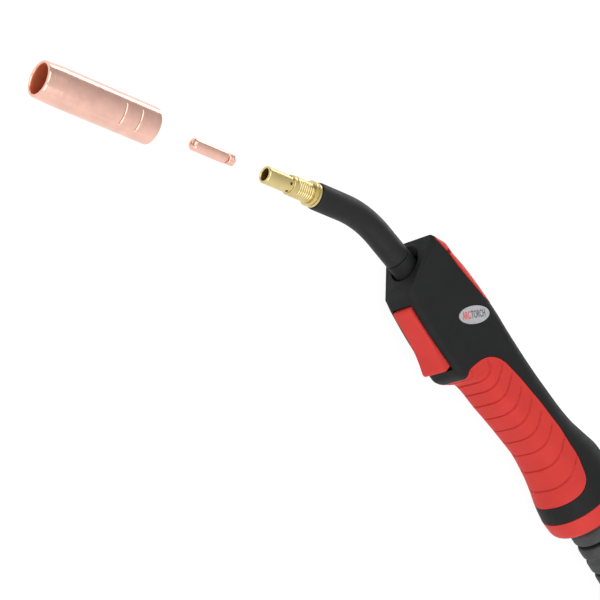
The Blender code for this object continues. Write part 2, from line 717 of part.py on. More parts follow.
def build_rear(red, black, brass, cable):
    axis = Vector((0, SWIVEL_AXIS_Y, 0))
    rings = []
    row = HANDLE[0]
    for x, grow in ((-1.3, 0.0), (-8.6, -0.5), (-10.9, -1.5), (-12.0, -3.2)):
        half = half_section(row, grow)
        rings.append([(x, y, z) for y, z in half] + [(x, y, -z) for y, z in half[::-1]])
    vertices = [point for ring in rings for point in ring]
    ring = add_object("rear_ring", vertices, bridge(rings, False, True), red)
    bore = [(-20, 13.2), (-8.6, 13.2), (-8.0, 14.8), (4, 14.8)]
    boolean(ring, as_cutter(turned("ring_bore_cutter", bore, 24, None, at(axis), hollow=False)))

    ball = []
    for i in range(9):
        x = -7.0 + 15.0 * i / 8
        ball.append((BALL_CENTRE_X + x, math.sqrt(BALL_RADIUS ** 2 - x ** 2)))
    ball += [(BALL_CENTRE_X + 8.0, 7.4), (BALL_CENTRE_X - 7.0, 7.4)]
    turned("swivel_ball", ball, 24, black, at(axis))
    build_boot(black, axis)
    turned("cable_stub", [(BOOT_END, CABLE_RADIUS), (19.6, CABLE_RADIUS)], 16, cable, at(axis), False)
    ferrule = [(20.0, 4.2), (52, 4.2), (56, 2.9), (60, 2.9), (60, 2.4), (52, 2.4), (20.0, 2.4)]
    turned("cable_ferrule", ferrule, 16, brass, at(axis))


def build_boot(black, axis):
    """Anti-kink sleeve: rings at an even pitch with slots between, in turn at 90 degrees."""
    first = -15.0
    profile = [(-9.4, 11.2), (-13.0, 11.2), (first, 12.4)]
    count = int((first - BOOT_END) / BOOT_PITCH)
    for i in range(count):
        start = first - BOOT_PITCH * i
        profile += [(start - 1.4, BOOT_RADIUS), (start - BOOT_PITCH + 2.6, BOOT_RADIUS),
                    (start - BOOT_PITCH + 1.2, 12.0), (start - BOOT_PITCH, 12.0)]
    profile += [(BOOT_END, 11.6), (BOOT_END, 8.0), (-9.4, 8.0)]
    boot = turned("cable_boot", profile, 24, black, at(axis))
    for i in range(1, count):
        middle = first - BOOT_PITCH * i + 0.6
        for side in (1, -1):
            low = (middle - 1.1, -9.5, 2.6)
            high = (middle + 1.1, 9.5, 16)
            name = "boot_slot_cutter_%d_%s" % (i, "a" if side > 0 else "b")
            turn = Matrix.Rotation(math.radians(90 * (i % 2) + (0 if side > 0 else 180)), 4, 'X')
            cutter = box(name, low, high, None, Matrix.Translation(axis) @ turn)
            boolean(boot, as_cutter(cutter))


# ---- lead and machine connector ----------------------------------------------------
def build_lead(cable):
    lead = [Vector(p) for p in ((BOOT_END - 0.4, SWIVEL_AXIS_Y, 0.0), (-78, -1.4, -0.4),
                                (-92.5, -1.4, -5.2))]
    poly_curve("cable_lead", smooth_path(lead, 7), CABLE_RADIUS, 3, cable)
    outer = COIL_MID_RADIUS + COIL_TURNS_WIDE * CABLE_RADIUS
    inner = COIL_MID_RADIUS - COIL_TURNS_WIDE * CABLE_RADIUS
    tall = COIL_LAYERS * 2 * CABLE_RADIUS
    corner = CABLE_RADIUS * 0.6
    profile = [(0, inner), (0, outer), (tall - corner, outer), (tall, outer - corner), (tall, inner)]
    place = at((COIL_CENTRE.x, COIL_CENTRE.y, FLOOR + 0.1), (0, 0, 1))
    turned("cable_coil", profile, 32, cable, place)
    tail_y = CONNECTOR_FACE.y
    tail = [Vector((-102.0, tail_y, -0.5)),
            Vector((CONNECTOR_FACE.x + CONNECTOR_REAR - 0.4, tail_y, 0.0))]
    poly_curve("cable_tail", tail, CABLE_RADIUS, 3, cable)


def build_connector(black, brass, rubber, grey):
    place = at(CONNECTOR_FACE)
    boot = [(CONNECTOR_REAR, 8.6), (-118.5, 9.0)]
    for i in range(1, 5):
        start = -124 + 7.4 * i
        radius = 9.1 + 0.28 * i
        boot += [(start, radius), (start + 4.6, radius), (start + 5.0, radius - 1.0),
                 (start + 7.0, radius - 1.0)]
    boot += [(-86.5, 11.0), (-76.5, 11.4)]
    turned("connector_boot", boot, 20, rubber, place, hollow=False)
    housing = [(-76.1, 12.8), (-70, 14.4), (-58, 16.8), (-44, 18.2), (-21.5, 18.2), (-20.2, 17.4),
               (-20.2, 14.6), (-3.4, 14.6), (-3.4, 13.2), (-15, 13.2), (-15, 8.6), (-76.1, 8.6)]
    turned("connector_housing", housing, 28, black, place)
    face = turned("connector_face_plate", [(-3.0, 14.4), (0, 14.4), (0, 5.3), (-3.0, 5.3)],
                  24, grey, place)
    plug = [(-24, 8.2), (-3.4, 8.2), (-3.4, 5.0), (19.5, 5.0), (19.5, 4.3), (21.7, 4.3),
            (21.7, 5.0), (25, 5.0), (26, 4.4), (26, 2.2), (-24, 2.2)]
    turned("connector_plug", plug, 20, brass, place)
    seal = [(19.8, 4.6), (20.0, 5.3), (21.2, 5.3), (21.4, 4.6)]
    turned("plug_seal", seal, 20, rubber, place)
    for i, side in enumerate((1, -1)):
        spot = CONNECTOR_FACE + Vector((0, side * 1.3, side * 9.9))
        hole = turned("pin_cutter_%d" % (i + 1), [(-6, 1.7), (3, 1.7)], 12, None, at(spot), False)
        boolean(face, as_cutter(hole))
        pin = [(-8.5, 1.4), (4.6, 1.4), (5.4, 0.8)]
        turned("contact_pin_%d" % (i + 1), pin, 12, brass, at(spot), hollow=False)
    build_connector_nut(black, place)


def build_connector_nut(black, place):
    """Hand nut with finger ribs, free to spin on the housing."""
    segments = 48
    profile = [(-19.0, 19.4, 0), (-17.4, 20.4, 1), (12.4, 20.4, 1), (14.0, 19.2, 0),
               (14.0, 16.4, 0), (-1.5, 16.4, 0), (-1.5, 15.0, 0), (-19.0, 15.0, 0)]
    rings = []
    for x, radius, ribbed in profile:
        ring = []
        for j in range(segments):
            rib = 0.7 if ribbed and j % 4 < 2 else 0.0
            angle = 2 * math.pi * (j + 0.5) / segments
            ring.append((x, (radius + rib) * math.cos(angle), (radius + rib) * math.sin(angle)))
        rings.append(ring)
    vertices = [point for ring in rings for point in ring]
    add_object("connector_nut", vertices, bridge(rings, True, False), black, place)


def main():
    clear_scene()
    black = make_material("black_plastic", (0.028, 0.029, 0.031), 0.55)
    grey = make_material("grey_plastic", (0.20, 0.20, 0.21), 0.6)
    red = make_material("red_plastic", (0.72, 0.055, 0.045), 0.5)
    rubber = make_material("black_rubber", (0.03, 0.03, 0.03), 0.75)
    copper = make_material("copper", (0.93, 0.60, 0.50), 0.2, 1.0)
    brass = make_material("brass", (0.87, 0.70, 0.40), 0.25, 1.0)
    steel = make_material("steel", (0.60, 0.60, 0.60), 0.35, 1.0)
    silver = make_material("badge_silver", (0.58, 0.58, 0.60), 0.4, 0.6)
    fibre = make_material("insulator", (0.14, 0.09, 0.06), 0.7)
    wire_red = make_material("wire_red", (0.55, 0.03, 0.03), 0.5)
    wire_white = make_material("wire_white", (0.75, 0.75, 0.72), 0.5)

    build_nozzle(copper, fibre, brass)
    build_tip(copper)
    build_diffuser(brass)
    build_neck(black, copper, steel)
    build_neck_socket(brass, steel, black)
    build_housing(black)
    build_screws(steel)
    build_pad_and_cap(red)
    for side, name in ((1, "badge_left"), (-1, "badge_right")):
        badge_shape(name, side, 0, silver)
    build_trigger(red, steel)
    build_trigger_spring(steel)
    build_switch(black, grey, wire_red, wire_white)
    build_rear(red, black, brass, rubber)
    build_lead(rubber)
    build_connector(black, brass, rubber, grey)


main()
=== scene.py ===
"""Looks of the MIG welding torch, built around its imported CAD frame.

Sizes are in millimetres in the torch frame, as in part.py: the origin lies on the
handle axis at the front edge of the rear ring, +X runs to the neck, +Y is the
trigger side and +Z the left side. ORIGIN, read from the record, moves it into the
world, in metres.
"""
import json
import math

import bmesh
import bpy
from mathutils import Matrix, Vector


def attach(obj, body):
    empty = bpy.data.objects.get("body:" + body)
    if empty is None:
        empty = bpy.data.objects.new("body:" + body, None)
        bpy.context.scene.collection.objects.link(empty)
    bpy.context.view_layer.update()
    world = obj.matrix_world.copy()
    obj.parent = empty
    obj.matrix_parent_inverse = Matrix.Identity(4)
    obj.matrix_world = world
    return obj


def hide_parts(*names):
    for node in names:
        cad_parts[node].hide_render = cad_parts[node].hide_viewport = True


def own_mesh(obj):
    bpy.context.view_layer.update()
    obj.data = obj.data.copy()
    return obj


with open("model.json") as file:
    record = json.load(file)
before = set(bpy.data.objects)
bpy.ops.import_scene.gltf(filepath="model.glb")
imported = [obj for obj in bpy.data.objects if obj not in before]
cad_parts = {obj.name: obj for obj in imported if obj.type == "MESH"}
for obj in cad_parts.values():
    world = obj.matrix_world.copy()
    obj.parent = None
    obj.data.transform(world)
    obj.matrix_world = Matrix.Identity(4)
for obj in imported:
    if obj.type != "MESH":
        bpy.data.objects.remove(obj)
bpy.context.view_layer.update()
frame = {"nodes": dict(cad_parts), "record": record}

MM = 0.001
GAP = 0.3
RECORD = frame["record"]
JOINTS = {joint["name"]: joint for joint in RECORD["behaviour"]["joints"]}
BODY_OF = {node: body for body, nodes in RECORD["behaviour"]["bodies"].items() for node in nodes}
SLOT_OF = {part["node"]: part["material_slot"] for part in RECORD["subparts"]}

# ---- driving dimensions (mm, torch frame): the CAD's, but for SPLIT and the pad's front ----
TRIGGER_PIVOT = Vector((138.5, 28.6, 0.0))
ORIGIN = Vector(JOINTS["trigger_pivot"]["pos_m"]) / MM - TRIGGER_PIVOT

TIP_RADIUS = 3.0
TIP_LENGTH = 25.0
NOZZLE_LENGTH = 59.6
NOZZLE_RADIUS = 8.9
NECK_RADIUS = 6.87
NECK_ANGLE = math.radians(9.8)
BARREL_ANGLE = math.radians(40.2)
STEM = Vector((math.cos(NECK_ANGLE), math.sin(NECK_ANGLE), 0.0))
BARREL = Vector((math.cos(BARREL_ANGLE), math.sin(BARREL_ANGLE), 0.0))
BEND_RADIUS = 48.0
DIFFUSER_FRONT = Vector((240.7, 62.1, 0.0))
NECK_EXIT = Vector((162.0, 16.0, 0.0))
SLEEVE_FRONT = -31.8
TIP_REST = 18.9
NOZZLE_REST = 66.8
THREAD_PITCH = 1.25
CRIMPS = (12.0, 20.6)  # places of the nozzle's crimped bands
CRIMP_TURN = math.radians(60)
CRIMP_SINK = 0.16  # how far a crimp sinks before its faces get the painted shade

WALL = 3.4
RECESS = 1.8  # depth of the seats for the pad and the cap
SKIN = 1.5  # thickness of the pad and the cap
CAP_PROUD = 0.2
SPLIT = 0.02  # half the joint between the two shells

# Handle sections: x, top y, bottom y, half widths above and below, corner radii.
HANDLE = [
    (-1, -25.5, 20.0, 21.2, 21.0, 20.8, 20.6),
    (8, -26.8, 18.2, 20.9, 20.0, 20.0, 18.6),
    (17, -26.4, 16.0, 19.9, 18.2, 18.5, 16.5),
    (28, -22.9, 14.4, 18.0, 16.2, 15.5, 14.0),
    (38, -19.4, 13.9, 16.8, 14.7, 13.5, 12.2),
    (50, -16.6, 15.3, 16.2, 13.8, 11.5, 11.0),
    (65, -14.2, 17.6, 16.2, 13.3, 10.0, 10.0),
    (75, -12.6, 19.2, 16.4, 13.0, 9.0, 9.0),
    (86, -11.2, 20.5, 16.7, 12.6, 8.0, 8.0),
    (91, -10.7, 21.8, 16.8, 12.3, 7.5, 7.0),
    (95, -10.2, 27.0, 16.9, 11.8, 7.0, 6.0),
    (98, -9.9, 30.6, 17.0, 11.5, 6.7, 5.0),
    (102, -9.6, 32.8, 17.1, 11.3, 6.4, 4.5),
    (108, -9.4, 33.2, 17.2, 11.0, 6.0, 4.2),
    (126, -7.8, 33.4, 17.5, 10.5, 5.3, 4.0),
    (143, -5.2, 32.6, 17.7, 10.2, 4.8, 4.0),
    (150, -3.3, 31.6, 17.8, 10.1, 4.5, 4.0),
    (157, -2.4, 31.4, 17.8, 10.0, 4.4, 4.0),
    (161, 0.0, 31.4, 17.8, 9.9, 4.3, 4.0),
    (169, 5.0, 31.4, 17.8, 9.9, 4.2, 4.0),
]

FRONT_TOP = Vector((164.3, 5.1))
FRONT_BOTTOM = Vector((149.7, 31.4))
FRONT_NORMAL = Vector((0.874, 0.485, 0.0))
FRONT_CHAMFER = 2.2

PAD_OUTLINE = [(94, 40), (94.3, 28.8), (97.4, 29.8), (100.3, 27.8), (100.4, 23), (99.6, 15.8),
               (96.3, 9.8), (90.7, 5.4), (77, 2.2), (60, -0.8), (43, -2.6), (25, -1.5), (13.6, 2.8),
               (9.4, 8.6), (8, 15), (7.6, 40)]
CAP_OUTLINE = [(163.4, 4.6), (160, 3.6), (153, 1.9), (145, 0.9), (138, -0.4), (130.6, -2.0),
               (123, -3.6), (118, -5.9), (116.3, -8.6), (116, -20), (176.8, -20)]

GROOVE_STARTS = [95.0, 89.5, 83.0, 75.2, 66.4, 57.5, 49.0, 39.8, 29.3, 17.6]
GROOVE_RISE = 16.5  # how far up the side each groove runs
GROOVE_LEAN = 8.5  # how far forward its upper end reaches
GROOVE_HALF_WIDTH = 0.45
GROOVE_DEPTH = 0.7

TRIGGER_FACE = [(142.4, 34.8), (137, 34.9), (132, 34.8), (123, 35.2), (116, 36.4),
                (110.5, 38.1)]
TRIGGER_FRONT_WIDTH = 5.9
TRIGGER_REAR_WIDTH = 7.2
TRIGGER_BORE = 1.4  # radius of the holes for its pin
PIN_HALF_LENGTH = 9.2

BADGE_CENTRE = Vector((119.5, 7.1))
BADGE_ANGLE = math.radians(63)

# Rear ring: x, and how far it stands out from the handle's rear section.
RING_SECTIONS = [(-1.3, -0.4), (-1.45, -0.1), (-1.8, 0.0), (-5, -0.15), (-8.0, -0.4),
                 (-9.6, -0.8), (-10.8, -1.5), (-11.6, -2.3), (-12.0, -3.4)]
SWIVEL_AXIS_Y = -1.4
CABLE_RADIUS = 6.5
BALL_CENTRE_X = -2.0
BALL_RADIUS = 14.2
BALL_REAR = -7.0  # the ball's flats, from its centre
BALL_FRONT = 8.0
BOOT_RADIUS = 13.2
BOOT_END = -64.0
BOOT_FIRST = -15.0
BOOT_PITCH = 9.2
BOOT_FRONT = -9.4

FLOOR = -21.2
FLOOR_REACH = 6000.0
COIL_CENTRE = Vector((-136.0, -69.9))
COIL_MID_RADIUS = 62.0
# Places of the coil's turns, in order: (ring, layer), ring 1 outermost, layer 0 lowest.
COIL_PLACES = [(1, 0), (-1, 0), (-1, 1), (-1, 2), (1, 2), (1, 1)]
# Degrees of its turn over which the cable moves on to the next place.
COIL_MOVES = [(320, 358), (280, 320), (280, 320), (240, 280), (200, 240)]

CONNECTOR_FACE = Vector((32.0, -144.0, 0.0))
CONNECTOR_REAR = -122.0

SCREW_PLACES = [(148.3, 25.0), (106.0, -4.8), (78.0, -7.0), (34.0, -12.6)]

CAMERA_PLACE = Vector((376.9, 628.7, 588.2))
CAMERA_RIGHT = Vector((-0.5288, -0.5309, 0.6622))
CAMERA_UP = Vector((0.8159, -0.5329, 0.2244))
CAMERA_LENS = 105.9
SKY_BRIGHT_SIDE = (-0.75, 0.6, -0.1)
SKY_DARKEST = 0.42
SKY_BRIGHTEST = 1.10

FINE_STEP = 0.75  # spacing of the handle's sections
GROOVE_STEP = 0.28  # spacing of the grip's sections
ARC_POINTS = 12
ROUND = 96  # segments of a turned piece
SHARP = 35  # degrees from which an edge stays sharp
SLIVER = 0.004  # edges shorter than this are merged


# ---- materials ----
def node(tree, kind, **values):
    """A shader node; values are sockets by name, or the node's own properties."""
    made = tree.nodes.new(kind)
    for name, value in values.items():
        if hasattr(made, name):
            setattr(made, name, value)
        else:
            made.inputs[name.replace("_", " ").title()].default_value = value
    return made


def object_noise(tree, scale, detail=3.0, stretch=(1, 1, 1)):
    """Noise in the piece's own coordinates; scale is in features per metre."""
    place = node(tree, "ShaderNodeTexCoord")
    mapping = node(tree, "ShaderNodeMapping", Scale=[scale * s for s in stretch])
    texture = node(tree, "ShaderNodeTexNoise", Scale=1.0, Detail=detail)
    tree.links.new(place.outputs["Object"], mapping.inputs["Vector"])
    tree.links.new(mapping.outputs["Vector"], texture.inputs["Vector"])
    return texture.outputs["Fac"]


def ranged(tree, value, low, high):
    """The value's middle part, spread between two limits."""
    spread = node(tree, "ShaderNodeMapRange", From_Min=0.3, From_Max=0.7, To_Min=low, To_Max=high)
    tree.links.new(value, spread.inputs["Value"])
    return spread.outputs["Result"]


def start_material(name, metallic, specular=0.5):
    material = bpy.data.materials.new(name)
    material.use_nodes = True
    tree = material.node_tree
    shader = tree.nodes["Principled BSDF"]
    shader.inputs["Metallic"].default_value = metallic
    shader.inputs["Specular IOR Level"].default_value = specular
    return material, tree, shader


def set_colour(tree, shader, colour, spread, scale, stretch=(1, 1, 1)):
    """A colour that drifts a little lighter and darker over the surface."""
    ramp = node(tree, "ShaderNodeValToRGB")
    darker = [c * (1 - spread) for c in colour]
    lighter = [min(1.0, c * (1 + spread)) for c in colour]
    ramp.color_ramp.elements[0].color = (*darker, 1)
    ramp.color_ramp.elements[0].position = 0.35
    ramp.color_ramp.elements[1].color = (*lighter, 1)
    ramp.color_ramp.elements[1].position = 0.65
    tree.links.new(object_noise(tree, scale, 4.0, stretch), ramp.inputs["Fac"])
    tree.links.new(ramp.outputs["Color"], shader.inputs["Base Color"])


def set_roughness(tree, shader, low, high, scale, stretch=(1, 1, 1)):
    value = ranged(tree, object_noise(tree, scale, 5.0, stretch), low, high)
    tree.links.new(value, shader.inputs["Roughness"])


def set_bump(tree, shader, height, depth):
    """Bump from a height value; depth is in millimetres."""
    bump = node(tree, "ShaderNodeBump", Distance=depth * MM, Strength=1.0)
    tree.links.new(height, bump.inputs["Height"])
    tree.links.new(bump.outputs["Normal"], shader.inputs["Normal"])


def moulded_plastic(name, colour, roughness=0.5, grain=0.02, spread=0.06, specular=0.2):
    """Satin plastic with a spark-eroded grain and a faint unevenness of gloss."""
    material, tree, shader = start_material(name, 0.0, specular)
    set_colour(tree, shader, colour, spread, 90)
    set_roughness(tree, shader, roughness - 0.05, roughness + 0.07, 220)
    set_bump(tree, shader, object_noise(tree, 2400, 2.0), grain)
    return material


def rubber(name, colour, grain=0.04):
    material, tree, shader = start_material(name, 0.0, 0.3)
    set_colour(tree, shader, colour, 0.18, 140)
    set_roughness(tree, shader, 0.58, 0.78, 260)
    set_bump(tree, shader, object_noise(tree, 1500, 4.0), grain)
    return material


def turned_metal(name, colour, roughness, lines=1.0, spread=0.05):
    """Bright metal off a lathe: fine rings across local X, a little colour drift."""
    material, tree, shader = start_material(name, 1.0)
    set_colour(tree, shader, colour, spread, 160)
    across = (12, 0.15, 0.15)
    set_roughness(tree, shader, roughness - 0.04, roughness + 0.06, 300, across)
    set_bump(tree, shader, object_noise(tree, 420, 3.0, across), 0.004 * lines)
    return material


def plated_steel(name, colour, roughness):
    material, tree, shader = start_material(name, 1.0)
    set_colour(tree, shader, colour, 0.12, 500)
    set_roughness(tree, shader, roughness - 0.08, roughness + 0.1, 700)
    set_bump(tree, shader, object_noise(tree, 1800, 3.0), 0.006)
    return material


def badge_metal(name):
    """Silver foil with a fine brush along its length."""
    material, tree, shader = start_material(name, 0.35)
    set_colour(tree, shader, (0.40, 0.40, 0.42), 0.05, 300)
    set_roughness(tree, shader, 0.35, 0.5, 600, (0.2, 6, 6))
    set_bump(tree, shader, object_noise(tree, 1500, 2.0, (0.2, 6, 6)), 0.003)
    return material


def floor_material():
    material, tree, shader = start_material("studio_floor", 0.0)
    set_colour(tree, shader, (0.12, 0.12, 0.12), 0.004, 2)
    shader.inputs["Roughness"].default_value = 0.9
    shader.inputs["Emission Color"].default_value = (1.0, 1.0, 1.0, 1.0)
    shader.inputs["Emission Strength"].default_value = 0.93
    return material


BLACK = moulded_plastic("black_plastic", (0.0075, 0.0078, 0.0082), 0.60)
NECK_BLACK = moulded_plastic("neck_plastic", (0.0110, 0.0110, 0.0115), 0.50, 0.015)
GREY = moulded_plastic("grey_plastic", (0.20, 0.20, 0.21), 0.55)
RED = moulded_plastic("red_plastic", (0.515, 0.032, 0.026), 0.50, 0.015, 0.03)
RED_GRIP = moulded_plastic("red_grip", (0.50, 0.030, 0.024), 0.58, 0.03, 0.03)
SOFT_BLACK = rubber("soft_black", (0.042, 0.042, 0.043))
JACKET = rubber("cable_jacket", (0.026, 0.026, 0.027), 0.06)
COPPER = turned_metal("copper", (0.82, 0.50, 0.41), 0.18)
COPPER_BORE = turned_metal("copper_bore", (0.95, 0.38, 0.20), 0.50, 1.6)
# Painted shade: a dark copper for the crimps' sunk edges, standing in for the shade in the grooves.
COPPER_CRIMP_SHADE = turned_metal("copper_grime", (0.36, 0.20, 0.16), 0.45)
BRASS = turned_metal("brass", (0.64, 0.52, 0.24), 0.26)
BRASS_BORE = turned_metal("brass_bore", (0.55, 0.36, 0.14), 0.40, 1.6)
STEEL = plated_steel("zinc_steel", (0.62, 0.62, 0.62), 0.32)
FIBRE = moulded_plastic("fibre", (0.16, 0.10, 0.06), 0.65, 0.05, 0.2)
BADGE = badge_metal("badge_silver")
INK_RED = moulded_plastic("ink_red", (0.60, 0.05, 0.05), 0.4, 0.0)
INK_GREY = moulded_plastic("ink_grey", (0.10, 0.10, 0.11), 0.4, 0.0)
WIRE_RED = moulded_plastic("wire_red", (0.55, 0.03, 0.03), 0.35, 0.005)
WIRE_WHITE = moulded_plastic("wire_white", (0.75, 0.75, 0.72), 0.35, 0.005)

MATERIAL_OF_SLOT = {
    "badge": BADGE, "soft_black": SOFT_BLACK, "cable_jacket": JACKET, "brass": BRASS,
    "copper": COPPER, "grey_plastic": GREY, "black_plastic": BLACK, "neck_sleeve": NECK_BLACK,
    "red_plastic": RED, "insulator": FIBRE, "steel": STEEL, "wire_red": WIRE_RED,
    "wire_white": WIRE_WHITE,
}


# ---- mesh helpers ----
def new_object(name, data):
    obj = bpy.data.objects.new(name, data)
    bpy.context.scene.collection.objects.link(obj)
    return obj


def add_object(name, vertices, faces, material=None, place=None, sharp=SHARP):
    """A mesh from millimetre points; place is its full matrix (mm, torch frame)."""
    mesh = bpy.data.meshes.new(name)
    mesh.from_pydata([Vector(v) * MM for v in vertices], [], faces)
    build = bmesh.new()
    build.from_mesh(mesh)
    bmesh.ops.recalc_face_normals(build, faces=build.faces)
    build.to_mesh(mesh)
    build.free()
    mesh.shade_smooth()
    mesh.set_sharp_from_angle(angle=math.radians(sharp))
    obj = new_object(name, mesh)
    if material is not None:
        mesh.materials.append(material)
    matrix = Matrix.Identity(4) if place is None else place.copy()
    matrix.translation = (matrix.translation + ORIGIN) * MM
    obj.matrix_world = matrix
    return obj


def stand_for(obj, *nodes):
    """The piece replaces CAD nodes and rides on their body.

    With no nodes given it replaces the one it is named after. The piece's own name
    ends in a number then, because the CAD node has the plain name already.
    """
    if not nodes:
        nodes = [obj.name.split(".")[0]]
    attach(obj, BODY_OF[nodes[0]])
    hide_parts(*nodes)
    return obj


def goes_with(obj, node_name):
    """A detail added to a CAD node's piece."""
    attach(obj, BODY_OF[node_name])
    return obj


def cut(obj, other, operation='DIFFERENCE'):
    modifier = obj.modifiers.new(operation.title(), 'BOOLEAN')
    modifier.operation = operation
    modifier.solver = 'EXACT'
    modifier.object = other


def soften(obj, width, segments=2, angle=40):
    """Rounds the sharp edges by a bevel of the given width (mm)."""
    bevel = obj.modifiers.new("Bevel", 'BEVEL')
    bevel.width = width * MM
    bevel.segments = segments
    bevel.limit_method = 'ANGLE'
    bevel.angle_limit = math.radians(angle)
    bevel.harden_normals = True


def bake(*objects, sharp=SHARP):
    """Applies the modifiers, then removes every cutter that they used."""
    bpy.context.view_layer.update()
    depsgraph = bpy.context.evaluated_depsgraph_get()
    cutters = set()
    for obj in objects:
        material = obj.data.materials[0] if obj.data.materials else None
        mesh = bpy.data.meshes.new_from_object(obj.evaluated_get(depsgraph))
        cutters |= {m.object for m in obj.modifiers if m.type == 'BOOLEAN'}
        obj.modifiers.clear()
        tidy = bmesh.new()
        tidy.from_mesh(mesh)
        bmesh.ops.dissolve_degenerate(tidy, dist=SLIVER * MM, edges=tidy.edges)
        tidy.to_mesh(mesh)
        tidy.free()
        mesh.shade_smooth()
        mesh.set_sharp_from_angle(angle=math.radians(sharp))
        mesh.materials.clear()
        mesh.materials.append(material)
        for polygon in mesh.polygons:
            polygon.material_index = 0
        obj.data = mesh
    for cutter in cutters:
        if cutter is not None and cutter.name in bpy.data.objects:
            inner = [m.object for m in cutter.modifiers if m.type == 'BOOLEAN']
            for other in inner + [cutter]:
                bpy.data.objects.remove(other, do_unlink=True)


def axes_at(x, y, z, position):
    matrix = Matrix((x, y, z)).transposed().to_4x4()
    matrix.translation = position
    return matrix


def at(position, along=(1.0, 0.0, 0.0)):
    """Matrix that puts a piece's local +X along a direction, at a position (mm)."""
    matrix = Vector(along).to_track_quat('X', 'Z').to_matrix().to_4x4()
    matrix.translation = Vector(position)
    return matrix


def barrel_place(distance):
    return at(DIFFUSER_FRONT + BARREL * distance, BARREL)


def stem_place(distance):
    return at(NECK_EXIT + STEM * distance, STEM)


def around(count):
    """Angles at an even spacing round a circle."""
    return [2 * math.pi * i / count for i in range(count)]


def bridge(rings, closed_loop):
    """Faces between the rings, and over the two ends unless the row is a closed loop."""
    count = len(rings[0])
    faces = []
    last = len(rings) if closed_loop else len(rings) - 1
    for i in range(last):
        a = i * count
        b = ((i + 1) % len(rings)) * count
        for j in range(count):
            k = (j + 1) % count
            faces.append((a + j, a + k, b + k, b + j))
    if not closed_loop:
        faces.append(tuple(range(count)))
        faces.append(tuple(last * count + j for j in range(count)))
    return faces


def ring_solid(name, rings, material=None, place=None, closed_loop=False, sharp=SHARP):
    vertices = [point for ring in rings for point in ring]
    return add_object(name, vertices, bridge(rings, closed_loop), material, place, sharp)


def turned(name, profile, material=None, place=None, hollow=True, segments=ROUND,
           relief=None, step=None):
    """Solid of revolution about local X from (x, radius) points.

    relief(x, angle, radius) is added to the radius, on a profile cut into short steps.
    """
    if step is not None:
        profile = finer_profile(profile, step, hollow)
    rings = []
    for x, radius in profile:
        ring = []
        for angle in around(segments):
            full = radius if relief is None else radius + relief(x, angle, radius)
            ring.append((x, full * math.cos(angle), full * math.sin(angle)))
        rings.append(ring)
    return ring_solid(name, rings, material, place, hollow)


def round_cutter(name, profile, place, segments=24):
    return turned(name, profile, None, place, False, segments)


def finer_profile(profile, step, closed):
    following = profile[1:] + (profile[:1] if closed else [])
    fine = []
    for (x0, r0), (x1, r1) in zip(profile, following):
        count = max(1, round(abs(x1 - x0) / step))
        for i in range(count):
            fine.append((x0 + (x1 - x0) * i / count, r0 + (r1 - r0) * i / count))
    if not closed:
        fine.append(profile[-1])
    return fine


def rounded_profile(profile, radius, points=4):
    """The profile with every corner of a closed loop rounded off."""
    result = []
    for i, corner in enumerate(profile):
        corner = Vector(corner)
        before = Vector(profile[i - 1]) - corner
        after = Vector(profile[(i + 1) % len(profile)]) - corner
        reach = min(radius, before.length * 0.45, after.length * 0.45)
        start = corner + before.normalized() * reach
        end = corner + after.normalized() * reach
        for j in range(points):
            t = j / (points - 1)
            result.append(tuple(start * (1 - t) ** 2 + corner * 2 * t * (1 - t) + end * t * t))
    return result


def swept(name, path, radii, material):
    """Tube along a path in the torch's middle plane; radii gives outer and inner."""
    frames = []
    for i, point in enumerate(path):
        before = path[max(i - 1, 0)]
        after = path[min(i + 1, len(path) - 1)]
        tangent = (after - before).normalized()
        side = Vector((0, 0, 1)).cross(tangent).normalized()
        frames.append((point, side, tangent.cross(side)))
    rings = []
    for line in radii:
        order = frames if len(rings) == 0 else frames[::-1]
        for (point, side, up), radius in zip(order, line):
            ring = []
            for angle in around(64):
                ring.append(point + radius * (math.cos(angle) * side + math.sin(angle) * up))
            rings.append(ring)
    return ring_solid(name, rings, material, closed_loop=True)


def prism(name, outline, half_width, material=None, place=None, widths=None):
    """An outline drawn out to both sides, by one half width or one for each point."""
    if widths is None:
        widths = [half_width] * len(outline)
    near = [(x, y, w) for (x, y), w in zip(outline, widths)]
    far = [(x, y, -w) for (x, y), w in zip(outline, widths)]
    return ring_solid(name, [near, far], material, place)


def box(name, low, high, material=None, place=None):
    outline = [(low[0], low[1]), (high[0], low[1]), (high[0], high[1]), (low[0], high[1])]
    near = [(x, y, high[2]) for x, y in outline]
    far = [(x, y, low[2]) for x, y in outline]
    return ring_solid(name, [near, far], material, place)


def smooth_path(points, spacing):
    """Points at an even spacing along a Catmull-Rom curve through the given points."""
    fine = []
    padded = [2 * points[0] - points[1]] + points + [2 * points[-1] - points[-2]]
    for i in range(1, len(padded) - 2):
        p0, p1, p2, p3 = padded[i - 1:i + 3]
        for step in range(24):
            t = step / 24
            fine.append(0.5 * (2 * p1 + (p2 - p0) * t + (2 * p0 - 5 * p1 + 4 * p2 - p3) * t * t
                               + (3 * p1 - p0 - 3 * p2 + p3) * t ** 3))
    fine.append(points[-1])
    total = sum((b - a).length for a, b in zip(fine, fine[1:]))
    count = max(2, round(total / spacing))
    result = [fine[0]]
    walked = 0.0
    for a, b in zip(fine, fine[1:]):
        step = (b - a).length
        while walked + step >= total * len(result) / count and len(result) < count:
            part = (total * len(result) / count - walked) / step
            result.append(a.lerp(b, part))
        walked += step
    result.append(fine[-1])
    return result


